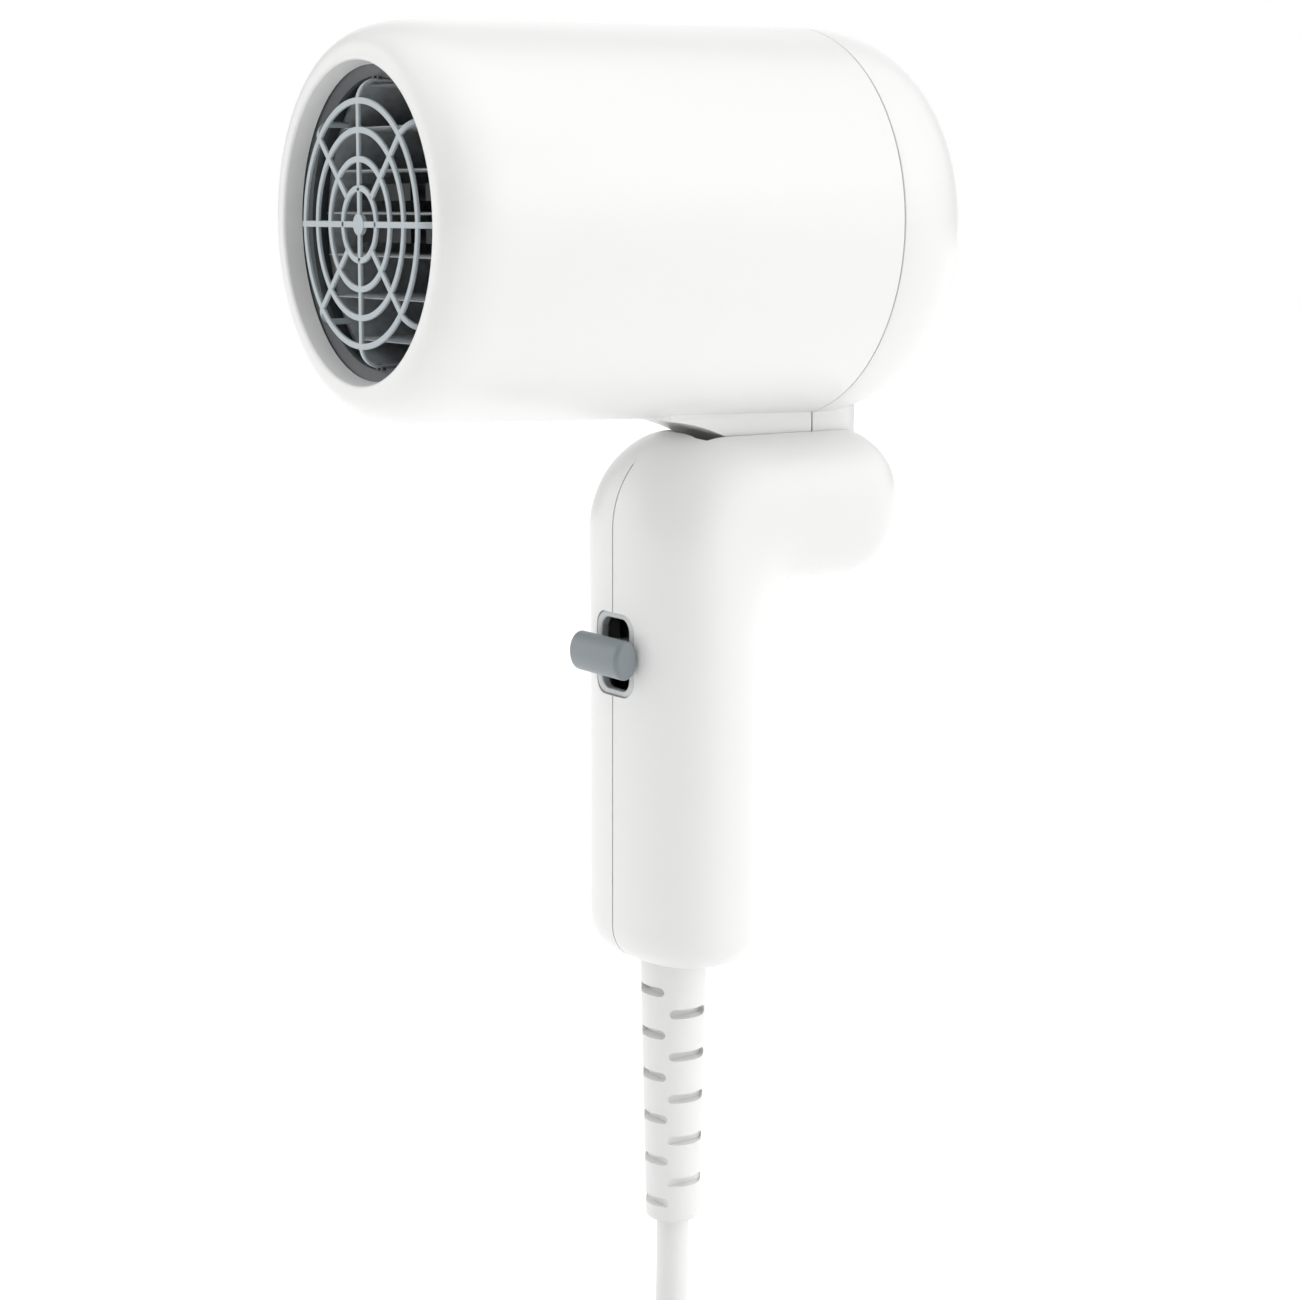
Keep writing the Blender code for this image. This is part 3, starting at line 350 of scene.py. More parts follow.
def turned(profile, sides, centre=(0.0, 0.0, 0.0), axis="X", closed_loop=True):
    """A profile of (along, radius) points turned about an axis through centre."""
    turns = [2 * pi * i / sides for i in range(sides)]
    rings = [[(along, r * cos(a), r * sin(a)) for a in turns] for along, r in profile]
    shape = loft(rings, closed_loop)
    quarter = {"X": None, "Y": Matrix.Rotation(pi / 2, 3, "Z"), "Z": Matrix.Rotation(-pi / 2, 3, "Y")}[axis]
    if quarter:
        bmesh.ops.rotate(shape, verts=shape.verts, matrix=quarter)
    bmesh.ops.translate(shape, vec=centre, verts=shape.verts)
    return shape


def rod(start, end, radius, sides, centre, axis):
    return turned([(start, radius), (end, radius)], sides, centre, axis, closed_loop=False)


def prism(outline, low, high, axis):
    """An outline drawn out along an axis: (y, z) points along X, (x, z) along Y, (x, y) along Z."""
    order = {
        "X": lambda a, b, c: (c, a, b),
        "Y": lambda a, b, c: (a, c, b),
        "Z": lambda a, b, c: (a, b, c),
    }[axis]
    return loft([[order(a, b, c) for a, b in outline] for c in (low, high)])


def block(low, high):
    corners = [(low[0], low[1]), (high[0], low[1]), (high[0], high[1]), (low[0], high[1])]
    return prism(corners, low[2], high[2], "Z")


def arc(centre, radius, start, end, steps):
    """Points on an arc, with its angles in degrees."""
    turns = [radians(start + (end - start) * i / steps) for i in range(steps + 1)]
    return [(centre[0] + radius * cos(a), centre[1] + radius * sin(a)) for a in turns]


def rounded_outline(half_a, half_b, radius, steps=8, centre=(0.0, 0.0)):
    """A rectangle with rounded corners, as (a, b) points."""
    outline = []
    for corner, (sa, sb) in enumerate(((1, 1), (-1, 1), (-1, -1), (1, -1))):
        middle_of_arc = (centre[0] + sa * (half_a - radius), centre[1] + sb * (half_b - radius))
        outline += arc(middle_of_arc, radius, 90 * corner, 90 * corner + 90, steps)
    return outline


def power_arc(start_x, length, outer_r, inner_r, power, steps):
    """Profile points of a rounded corner that starts along the barrel and ends square to it."""
    points = []
    for i in range(steps + 1):
        turn = pi / 2 * i / steps
        along = start_x + length * sin(turn) ** (2 / power)
        points.append((along, inner_r + (outer_r - inner_r) * max(cos(turn), 0.0) ** (2 / power)))
    return points


# %% Make objects, carve them and round their edges
SHARP = 32  # degrees between faces past which an edge is shaded sharp


def solid(name, shape):
    """An object from a bmesh drawn in millimetres, with its faces outwards."""
    bmesh.ops.remove_doubles(shape, verts=shape.verts, dist=1e-5)
    bmesh.ops.scale(shape, vec=(MM, MM, MM), verts=shape.verts)
    bmesh.ops.recalc_face_normals(shape, faces=shape.faces)
    mesh = bpy.data.meshes.new(name)
    shape.to_mesh(mesh)
    shape.free()
    made = bpy.data.objects.new(name, mesh)
    scene.collection.objects.link(made)
    return made


def bake(obj):
    """Replaces the object's mesh by what its modifiers make of it."""
    graph = bpy.context.evaluated_depsgraph_get()
    mesh = bpy.data.meshes.new_from_object(obj.evaluated_get(graph), depsgraph=graph)
    obj.modifiers.clear()
    obj.data = mesh
    mesh.shade_smooth()
    mesh.set_sharp_from_angle(angle=radians(SHARP))
    return obj


def carve(target, tools, operation="DIFFERENCE"):
    """Cuts the target by each tool, or joins them to it, and removes the tools."""
    for tool in tools:
        step = target.modifiers.new(tool.name, "BOOLEAN")
        step.operation = operation
        step.solver = "EXACT"
        step.object = tool
    bake(target)
    for tool in tools:
        bpy.data.objects.remove(tool, do_unlink=True)
    return target


def round_edges(target, width, segments=3, angle=35):
    """Rounds every edge that is sharper than the angle."""
    step = target.modifiers.new("round", "BEVEL")
    step.width = width * MM
    step.segments = segments
    step.limit_method = "ANGLE"
    step.angle_limit = radians(angle)
    return bake(target)


def settle(piece, body, look, slot, *nodes):
    """Paints a piece, lets it ride its body, and hides the solids that it stands for."""
    piece.data.materials.clear()
    piece.data.materials.append(look)
    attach(piece, body)
    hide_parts(*nodes)
    faces = len(piece.data.polygons) if piece.type == "MESH" else 0
    print("%-18s rides %-7s %6d faces" % (piece.name, body, faces))
    return piece


# %% [markdown]
# ## Finishes
# Nearly everything here is moulded plastic, and what tells one moulding from another is its colour, how
# polished its mould was and the grain that the mould left. One function makes them all from those
# facts: a slow drift of colour and roughness, as where plastic cooled unevenly, and a fine bump at the
# size of the grain.

# %% Moulded plastics
def moulded(name, colour, roughness, grain, grain_height, ior=1.5, drift=0.02):
    """Plastic from a mould. Grain is the bumps' spacing in millimetres, and grain_height their height."""
    made = bpy.data.materials.new(name)
    made.use_nodes = True
    tree = made.node_tree
    shader = tree.nodes["Principled BSDF"]
    place = add_node(tree, "ShaderNodeTexCoord").outputs["Object"]
    cloud = add_node(tree, "ShaderNodeTexNoise", {"Vector": place, "Scale": 1 / (22 * MM), "Detail": 3.0})
    base = srgb(colour)
    low = [c * (1 - drift) for c in base[:3]] + [1.0]
    high = [min(1.0, c * (1 + drift)) for c in base[:3]] + [1.0]
    tone = add_node(
        tree, "ShaderNodeMix", {0: cloud.outputs["Fac"], 6: low, 7: high}, data_type="RGBA"
    )
    polish = add_node(
        tree,
        "ShaderNodeMapRange",
        {"Value": cloud.outputs["Fac"], "To Min": roughness - 0.03, "To Max": roughness + 0.03},
    )
    grit = add_node(
        tree, "ShaderNodeTexNoise", {"Vector": place, "Scale": 1 / (grain * MM), "Detail": 2.0}
    )
    bump = add_node(
        tree,
        "ShaderNodeBump",
        {"Height": grit.outputs["Fac"], "Distance": grain_height * MM, "Strength": 1.0},
    )
    tree.links.new(tone.outputs[2], shader.inputs["Base Color"])
    tree.links.new(polish.outputs["Result"], shader.inputs["Roughness"])
    tree.links.new(bump.outputs["Normal"], shader.inputs["Normal"])
    shader.inputs["IOR"].default_value = ior
    return made


# Glossy ABS from a polished mould: near white, with the faint long ripple that a polished mould leaves.
white_abs = moulded("moulded_white_abs", "EAEAE9", 0.3, 6.0, 0.006, ior=1.53, drift=0.006)
# The switch's rim is the same ABS in a pale grey, from a blasted mould.
rim_abs = moulded("blasted_pale_abs", "CDD0D0", 0.45, 0.35, 0.012, ior=1.53)
# Glass-filled nylon holds its shape beside the heater, and the fibres leave a dull, slightly mottled face.
liner_nylon = moulded("glass_filled_nylon", "505457", 0.42, 0.4, 0.02, drift=0.05)
# The grille is the same kind of nylon with a light pigment, from a finer mould.
grille_nylon = moulded("pigmented_nylon", "AFB8BC", 0.4, 0.4, 0.012, drift=0.02)
# The knob is satin ABS: a soft highlight, no visible grain until close.
knob_abs = moulded("satin_grey_abs", "7F878B", 0.38, 0.3, 0.008, ior=1.53)
# Impeller, motor seat and switch case are black nylon.
black_nylon = moulded("black_nylon", "26282A", 0.5, 0.4, 0.02, drift=0.05)
# Soft PVC for the lead, its sleeve and its plug: duller than ABS, with the drag marks of the extruder.
cord_pvc = moulded("soft_white_pvc", "E8E8E7", 0.42, 0.8, 0.01, ior=1.52, drift=0.01)
print("plastics:", [m.name for m in bpy.data.materials if m.users or True][-7:])


# %% Metals, mica and mesh
def metal(name, colour, roughness, streaks, axis):
    """A drawn or rolled metal, with streaks this far apart in millimetres along an axis."""
    made = bpy.data.materials.new(name)
    made.use_nodes = True
    tree = made.node_tree
    shader = tree.nodes["Principled BSDF"]
    place = add_node(tree, "ShaderNodeTexCoord").outputs["Object"]
    stretch = [1.0, 1.0, 1.0]
    stretch["XYZ".index(axis)] = 0.03
    drawn = add_node(tree, "ShaderNodeMapping", {"Vector": place, "Scale": stretch})
    lines = add_node(
        tree,
        "ShaderNodeTexNoise",
        {"Vector": drawn.outputs["Vector"], "Scale": 1 / (streaks * MM), "Detail": 4.0},
    )
    shine = add_node(
        tree,
        "ShaderNodeMapRange",
        {"Value": lines.outputs["Fac"], "To Min": roughness - 0.08, "To Max": roughness + 0.1},
    )
    bump = add_node(
        tree, "ShaderNodeBump", {"Height": lines.outputs["Fac"], "Distance": 0.004 * MM, "Strength": 1.0}
    )
    shader.inputs["Base Color"].default_value = srgb(colour)
    shader.inputs["Metallic"].default_value = 1.0
    tree.links.new(shine.outputs["Result"], shader.inputs["Roughness"])
    tree.links.new(bump.outputs["Normal"], shader.inputs["Normal"])
    return made


def mica_board():
    """Pressed mica flakes in a thin binder: flat glints of slightly different silver greys."""
    made = bpy.data.materials.new("pressed_mica")
    made.use_nodes = True
    tree = made.node_tree
    shader = tree.nodes["Principled BSDF"]
    place = add_node(tree, "ShaderNodeTexCoord").outputs["Object"]
    flakes = add_node(tree, "ShaderNodeTexVoronoi", {"Vector": place, "Scale": 1 / (1.8 * MM)})
    tint = add_node(tree, "ShaderNodeValToRGB", {"Fac": flakes.outputs["Distance"]})
    tint.color_ramp.elements[0].color = srgb("B2B7BA")
    tint.color_ramp.elements[1].color = srgb("C8CCCE")
    shine = add_node(
        tree,
        "ShaderNodeMapRange",
        {"Value": flakes.outputs["Distance"], "To Min": 0.35, "To Max": 0.6},
    )
    tree.links.new(tint.outputs["Color"], shader.inputs["Base Color"])
    tree.links.new(shine.outputs["Result"], shader.inputs["Roughness"])
    return made


mica = mica_board()
# Zinc-plated steel for pins, screws, blades and the motor's can.
plated_steel = metal("zinc_plated_steel", "C3C6C8", 0.32, 0.3, "Z")
# Nickel-chrome strip turns a dull dark grey once it has been hot.
element_strip = metal("oxidised_nickel_chrome", "57585A", 0.5, 0.25, "X")
bush_brass = metal("sintered_brass", "B8944E", 0.4, 0.4, "X")
filter_nylon = moulded("woven_nylon_thread", "3C4042", 0.5, 0.2, 0.01)
print("metals and mica made")


# %% [markdown]
# ## Barrel
# Two moulded shells meet at a seam behind the middle, and each carries half of the neck that folds on
# the handle. A lathe profile gives the round part: a nearly straight wall, a full nose and a thin lip.
# A fillet or a sculpt would only guess at what a turned profile states. The neck is a flat outline
# drawn out across the dryer, trimmed in plan, rounded along its edges and then joined to the shell.

# %% Front housing
BARREL_SLOPE = 0.0198  # the barrel widens towards the seam by this much per mm
WALL = 2.2
NOSE_LENGTH = 12.7
NOSE_POWER = 2.2  # 2 would be round, and more is squarer
LIP_R = 31.2
OUTLET_R = 29.65
OUTLET_INNER_R = 29.0  # where the lip's wall meets the liner
LIP_ROUND = 0.7
LIP_DEPTH = 3.7  # how far the lip's own wall runs in before the liner
NECK_HALF = 9.6
NECK_BACK_ROUND = 7.3
NECK_FRONT_CENTRE = (-11.8, 17.9)
NECK_FRONT_R = 42.0
BOSS_R = 7.3
SEAM_ROUND = 0.12
BARREL_SIDES = 192


def barrel_radius(x):
    return SEAM_R + BARREL_SLOPE * (x - SEAM_X)


def rounded_rim(x, radius, inwards):
    """The seam's edge, rounded: from the seam face to the outside, inwards being -1 or 1 along X."""
    turns = (0, 30, 60, 90)
    rim = []
    for a in turns:
        along = x + inwards * SEAM_ROUND * (1 - cos(radians(a)))
        rim.append((along, radius - SEAM_ROUND * (1 - sin(radians(a)))))
    return rim


def neck_outline():
    """Side view of the whole neck, as (x, z): the front arc, round the boss, and up the back."""
    top = AXIS_Z - SEAM_R + WALL - 0.1
    front = arc(NECK_FRONT_CENTRE, NECK_FRONT_R, 84, 27, 48)
    boss = arc((HINGE.x, HINGE.z), BOSS_R, 215, 360, 32)
    return [(front[0][0], top)] + front + boss + [(HINGE.x + BOSS_R, top)]


def neck_half(side):
    whole = solid("neck", prism(neck_outline(), -NECK_HALF, NECK_HALF, "Y"))
    wide = NECK_HALF + 1.0
    if side == "front":
        plan = [(-40.0, -wide), (FRONT_SEAM_X, -wide), (FRONT_SEAM_X, wide), (-40.0, wide)]
    else:
        seam = SEAM_X + GAP / 2
        corner = HINGE.x + BOSS_R - NECK_BACK_ROUND
        side_y = NECK_HALF - NECK_BACK_ROUND
        plan = [(seam, -wide), (corner - 2.0, -wide), (corner - 2.0, -NECK_HALF)]
        plan += arc((corner, -side_y), NECK_BACK_ROUND, -90, 0, 20)
        plan += arc((corner, side_y), NECK_BACK_ROUND, 0, 90, 20)
        plan += [(corner - 2.0, NECK_HALF), (corner - 2.0, wide), (seam, wide)]
    trim = solid("neck_plan", prism(plan, 20.0, AXIS_Z, "Z"))
    carve(whole, [trim], "INTERSECT")
    return round_edges(whole, SEAM_ROUND, 2, 50)


def front_housing():
    start = LIP_X + NOSE_LENGTH
    rim = rounded_rim(FRONT_SEAM_X, barrel_radius(FRONT_SEAM_X), -1)
    nose = power_arc(start, -NOSE_LENGTH, barrel_radius(start), LIP_R, NOSE_POWER, 30)
    lip = arc((LIP_X + LIP_ROUND, OUTLET_R + LIP_ROUND), LIP_ROUND, 180, 270, 10)
    inside = [
        (LIP_X + LIP_DEPTH, OUTLET_INNER_R),
        (LIP_X + LIP_DEPTH, LIP_R + 2.2),
        (start, barrel_radius(start) - WALL),
        (FRONT_SEAM_X, barrel_radius(FRONT_SEAM_X) - WALL),
    ]
    shell = solid("barrel_front", turned(rim + nose + lip + inside, BARREL_SIDES, (0, 0, AXIS_Z)))
    return carve(shell, [neck_half("front")], "UNION")


settle(front_housing(), "barrel", white_abs, "white_plastic", "front_housing")

# %% Rear cover
REAR_FLAT_R = 23.4
INLET_R = 21.6
INLET_ROUND = 0.5
CAP_POWER = 2.5
SPIGOT_REACH = 3.0
SPIGOT_WALL = 1.5
SPIGOT_GAP = 0.35
PIN_HOLE_R = 2.58


def rear_cover():
    seam = SEAM_X + GAP / 2
    rim = rounded_rim(seam, SEAM_R, 1)
    cap = power_arc(seam, REAR_X - seam, SEAM_R, REAR_FLAT_R, CAP_POWER, 30)
    cap = [p for p in cap if p[0] > rim[-1][0] + 0.1]
    inlet = arc((REAR_X - INLET_ROUND, INLET_R + INLET_ROUND), INLET_ROUND, 0, -90, 4)
    inlet += [(REAR_X - WALL, INLET_R)]
    inner = power_arc(seam, REAR_X - WALL - seam, SEAM_R - WALL, INLET_R, CAP_POWER, 20)[::-1]
    inner = [p for p in inner if p[1] > INLET_R + INLET_ROUND and p[0] > seam + 2.5]
    spigot_r = SEAM_R - WALL - SPIGOT_GAP
    spigot = [(seam + SPIGOT_WALL, spigot_r - SPIGOT_WALL)]
    spigot += [(seam - SPIGOT_REACH, spigot_r - SPIGOT_WALL), (seam - SPIGOT_REACH, spigot_r)]
    spigot += [(seam, spigot_r)]
    profile = rim + cap + inlet + inner + spigot
    cover = solid("barrel_rear", turned(profile, BARREL_SIDES, (0, 0, AXIS_Z)))
    carve(cover, [neck_half("rear")], "UNION")
    bore = solid("bore", rod(-30, 30, PIN_HOLE_R, 32, (HINGE.x, 0, HINGE.z), "Y"))
    return carve(cover, [bore])


settle(rear_cover(), "barrel", white_abs, "white_plastic", "rear_cover")
print("seam gap %.1f mm" % GAP)


# %% [markdown]
# ## Outlet
# Inside the white lip sits a dark nylon liner. Its front is a flat ring, then a narrow step on which a
# nozzle would click home, with two small catches, and behind it the straight duct. The grille stands
# inside the step. It is a moulding of concentric rings and eight bars, whose ends bend back into the
# duct. Rings and bars that repeat by a rule are what Geometry Nodes are for: one tree makes this grille
# and the inlet's.

# %% Liner
STEP_R = 26.9  # where a nozzle clicks home
DUCT_R = 30.4
LINER_R = 31.6  # outside the duct
FLANGE_R = 33.0
LINER_LENGTH = 38.0


def outlet_liner():
    """The funnel behind the lip, the narrow step, and the straight duct, with two teeth above and below."""
    front = LIP_X + LIP_DEPTH + GAP
    step = front + 0.9
    end = LIP_X + LINER_LENGTH
    throat_r = OUTLET_INNER_R - 0.1
    profile = [(front, FLANGE_R), (front, throat_r + 0.3), (front + 0.15, throat_r)]
    profile += [(step - 0.1, STEP_R + 0.1), (step, STEP_R), (step + 0.9, STEP_R), (step + 1.6, DUCT_R)]
    profile += [(end, DUCT_R), (end, LINER_R), (front + 2.6, LINER_R), (front + 1.6, FLANGE_R)]
    liner = solid("outlet_duct", turned(profile, 144, (0, 0, AXIS_Z)))
    teeth = []
    for side in (-1, 1):
        for y, length in ((-0.9, 0.6), (0.9, 1.1)):
            low, high = sorted((side * (STEP_R + 0.3), side * (STEP_R - length)))
            tooth = block((step, y - 0.3, AXIS_Z + low), (step + 0.8, y + 0.3, AXIS_Z + high))
            teeth.append(solid("tooth", tooth))
    return carve(liner, teeth, "UNION")


settle(outlet_liner(), "barrel", liner_nylon, "liner_plastic", "outlet_liner")


# %% The grille's node tree
def node_group(name, sockets):
    """An empty Geometry Nodes tree with these inputs, as (name, socket kind, starting value)."""
    tree = bpy.data.node_groups.new(name, "GeometryNodeTree")
    tree.interface.new_socket("Geometry", in_out="INPUT", socket_type="NodeSocketGeometry")
    tree.interface.new_socket("Geometry", in_out="OUTPUT", socket_type="NodeSocketGeometry")
    for label, kind, value in sockets:
        socket = tree.interface.new_socket(label, in_out="INPUT", socket_type=kind)
        if value is not None:
            socket.default_value = value
    return tree


def grille_tree():
    """Rings and bars round the Z axis. The object's own curve is one bar, in the plane Y = 0."""
    tree = node_group(
        "rings_and_bars",
        [
            ("Ring Count", "NodeSocketInt", 4),
            ("First Radius", "NodeSocketFloat", 0.0066),
            ("Ring Pitch", "NodeSocketFloat", 0.005),
            ("Bar Count", "NodeSocketInt", 8),
            ("Inner Bar Count", "NodeSocketInt", 4),
            ("Bar Width", "NodeSocketFloat", 0.00115),
            ("Bar Depth", "NodeSocketFloat", 0.0024),
            ("Edge Round", "NodeSocketFloat", 0.0003),
            ("Boss Radius", "NodeSocketFloat", 0.002),
            ("Material", "NodeSocketMaterial", None),
        ],
    )
    given = add_node(tree, "NodeGroupInput").outputs
    outline = add_node(
        tree,
        "GeometryNodeCurvePrimitiveQuadrilateral",
        {"Width": given["Bar Width"], "Height": given["Bar Depth"]},
    )
    section = add_node(
        tree,
        "GeometryNodeFilletCurve",
        {
            "Curve": outline.outputs["Curve"],
            "Radius": given["Edge Round"],
            "Count": 3,
            "Limit Radius": True,
        },
        mode="POLY",
    )
    # Rings: a row of points, one circle on each, scaled by its place in the row.
    row = add_node(tree, "GeometryNodeMeshLine", {"Count": given["Ring Count"], "Offset": (0, 0, 0)})
    index = add_node(tree, "GeometryNodeInputIndex").outputs["Index"]
    grown = add_node(tree, "ShaderNodeMath", {0: index, 1: given["Ring Pitch"]}, operation="MULTIPLY")
    radius = add_node(
        tree, "ShaderNodeMath", {0: grown.outputs[0], 1: given["First Radius"]}, operation="ADD"
    )
    circle = add_node(tree, "GeometryNodeCurvePrimitiveCircle", {"Resolution": 144, "Radius": 1.0})
    rings = add_node(
        tree,
        "GeometryNodeInstanceOnPoints",
        {
            "Points": row.outputs["Mesh"],
            "Instance": circle.outputs["Curve"],
            "Scale": radius.outputs[0],
        },
    )
    # Bars: the given curve, turned round the axis, and straight ones from the middle to the first ring.
    bars = turned_copies(tree, given["Geometry"], given["Bar Count"])
    first = add_node(tree, "ShaderNodeCombineXYZ", {"X": given["First Radius"]})
    spoke = add_node(tree, "GeometryNodeCurvePrimitiveLine", {"End": first.outputs[0]})
    inner = turned_copies(tree, spoke.outputs["Curve"], given["Inner Bar Count"])
    lines = add_node(tree, "GeometryNodeJoinGeometry")
    for part in (rings.outputs["Instances"], bars, inner):
        tree.links.new(part, lines.inputs["Geometry"])
    real = add_node(tree, "GeometryNodeRealizeInstances", {"Geometry": lines.outputs[0]})
    upright = add_node(tree, "GeometryNodeSetCurveNormal", {"Curve": real.outputs[0]})
    swept = add_node(
        tree,
        "GeometryNodeCurveToMesh",
        {"Curve": upright.outputs[0], "Profile Curve": section.outputs["Curve"], "Fill Caps": True},
    )
    # The boss stands a little proud of the bars that meet in it.
    thick = add_node(tree, "ShaderNodeMath", {0: given["Bar Depth"], 1: 0.0002}, operation="ADD")
    boss = add_node(
        tree,
        "GeometryNodeMeshCylinder",
        {"Vertices": 32, "Radius": given["Boss Radius"], "Depth": thick.outputs[0]},
    )
    whole = add_node(tree, "GeometryNodeJoinGeometry")
    for part in (swept.outputs["Mesh"], boss.outputs["Mesh"]):
        tree.links.new(part, whole.inputs["Geometry"])
    plain = add_node(tree, "GeometryNodeRealizeInstances", {"Geometry": whole.outputs[0]})
    painted = add_node(
        tree,
        "GeometryNodeSetMaterial",
        {"Geometry": plain.outputs[0], "Material": given["Material"]},
    )
    add_node(tree, "NodeGroupOutput", {"Geometry": painted.outputs[0]})
    return tree


def turned_copies(tree, curve, count):
    """Copies of a curve, spread evenly round the Z axis."""
    row = add_node(tree, "GeometryNodeMeshLine", {"Count": count, "Offset": (0, 0, 0)})
    index = add_node(tree, "GeometryNodeInputIndex").outputs["Index"]
    step = add_node(tree, "ShaderNodeMath", {0: 2 * pi, 1: count}, operation="DIVIDE")
    angle = add_node(tree, "ShaderNodeMath", {0: index, 1: step.outputs[0]}, operation="MULTIPLY")
    turn = add_node(tree, "ShaderNodeCombineXYZ", {"Z": angle.outputs[0]})
    copies = add_node(
        tree,
        "GeometryNodeInstanceOnPoints",
        {"Points": row.outputs["Mesh"], "Instance": curve, "Rotation": turn.outputs[0]},
    )
    return copies.outputs["Instances"]


def run_tree(obj, tree, values):
    """Gives the object the tree, sets its inputs by their identifiers, and bakes the result to a mesh."""
    step = obj.modifiers.new(tree.name, "NODES")
    step.node_group = tree
    sockets = {s.name: s.identifier for s in tree.interface.items_tree if s.in_out == "INPUT"}
    for label, value in values.items():
        step[sockets[label]] = value
    graph = bpy.context.evaluated_depsgraph_get()
    mesh = bpy.data.meshes.new_from_object(obj.evaluated_get(graph), depsgraph=graph)
    made = bpy.data.objects.new(obj.name + "_made", mesh)
    scene.collection.objects.link(made)
    name = obj.name
    bpy.data.objects.remove(obj, do_unlink=True)
    made.name = name
    return made


def poly_curve(name, points, closed=False):
    """A bare curve through points in millimetres."""
    curve = bpy.data.curves.new(name, "CURVE")
    curve.dimensions = "3D"
    line = curve.splines.new("POLY")
    line.points.add(len(points) - 1)
    for point, place in zip(line.points, points):
        point.co = (*(Vector(place) * MM), 1.0)
    line.use_cyclic_u = closed
    made = bpy.data.objects.new(name, curve)
    scene.collection.objects.link(made)
    return made


def face_outlet(obj, x):
    """Turns a grille made round the Z axis to face -X, with its middle at x on the barrel's axis."""
    quarter = Matrix.Rotation(-pi / 2, 4, "Y")
    obj.data.transform(Matrix.Translation(Vector((x, 0, AXIS_Z)) * MM) @ quarter)
    obj.data.update()
    return obj


RINGS_AND_BARS = grille_tree()
print("tree", RINGS_AND_BARS.name, "has", len(RINGS_AND_BARS.nodes), "nodes")

# %% Outlet grille
GRILLE_FIRST_R = 6.6
GRILLE_PITCH = 5.27
GRILLE_RINGS = 4
GRILLE_BARS = 8
GRILLE_INNER_BARS = 4
GRILLE_BOSS_R = 2.0
GRILLE_BAR = 1.15
GRILLE_FRONT = LIP_X + 1.0
GRILLE_DEPTH = 0.6
GRILLE_ROUND = 0.14
LEG_BEND = 3.8
LEG_R = 26.2
LEG_BACK = 7.2


def outlet_grille():
    """A bar runs out from the first ring, bends, and runs back into the duct; +Z is out of the dryer."""
    corner = (LEG_R - LEG_BEND, -LEG_BEND)
    bar = [(GRILLE_FIRST_R, 0.0, 0.0)]
    bar += [(r, 0.0, z) for r, z in arc(corner, LEG_BEND, 90, 0, 10)]
    bar += [(LEG_R, 0.0, -LEG_BACK)]
    grille = run_tree(
        poly_curve("outlet_guard", bar),
        RINGS_AND_BARS,
        {
            "Ring Count": GRILLE_RINGS,
            "First Radius": GRILLE_FIRST_R * MM,
            "Ring Pitch": GRILLE_PITCH * MM,
            "Bar Count": GRILLE_BARS,
            "Inner Bar Count": GRILLE_INNER_BARS,
            "Bar Width": GRILLE_BAR * MM,
            "Bar Depth": GRILLE_DEPTH * MM,
            "Edge Round": GRILLE_ROUND * MM,
            "Boss Radius": GRILLE_BOSS_R * MM,
            "Material": grille_nylon,
        },
    )
    return face_outlet(grille, GRILLE_FRONT + GRILLE_DEPTH / 2)


guard = outlet_grille()
guard.data.shade_smooth()
guard.data.set_sharp_from_angle(angle=radians(SHARP))
settle(guard, "barrel", grille_nylon, "grille_plastic", "outlet_grille")


# %% [markdown]
# ## Air inlet
# The rear cover ends in a flat rim round a second, finer grille, and behind that lies a disc of woven
# nylon that keeps hair out of the fan. The grille is the same tree with more rings and straight bars.
# The mesh is made of real threads, laid both ways in two layers and cut to a disc, because light falls
# through it.

# %% Inlet grille
def inlet_grille():
    low, high = box_mm("inlet_grille")
    rim = middle((low, high)).z, (high.z - low.z) / 2
    depth = high.x - low.x
    rings = 5
    bar = 1.3
    pitch = 3.75
    first = rim[1] - bar / 2 - pitch * (rings - 1)
    made = run_tree(
        poly_curve("inlet_guard", [(first, 0, 0), (rim[1] - bar / 2, 0, 0)]),
        RINGS_AND_BARS,
        {
            "Ring Count": rings,
            "First Radius": first * MM,
            "Ring Pitch": pitch * MM,
            "Bar Count": 8,
            "Inner Bar Count": 8,
            "Bar Width": bar * MM,
            "Bar Depth": depth * MM,
            "Edge Round": 0.3 * MM,
            "Boss Radius": 2.4 * MM,
            "Material": white_abs,
        },
    )
    made.data.shade_smooth()
    made.data.set_sharp_from_angle(angle=radians(SHARP))
    return face_outlet(made, (low.x + high.x) / 2)


settle(inlet_grille(), "barrel", white_abs, "white_plastic", "inlet_grille")


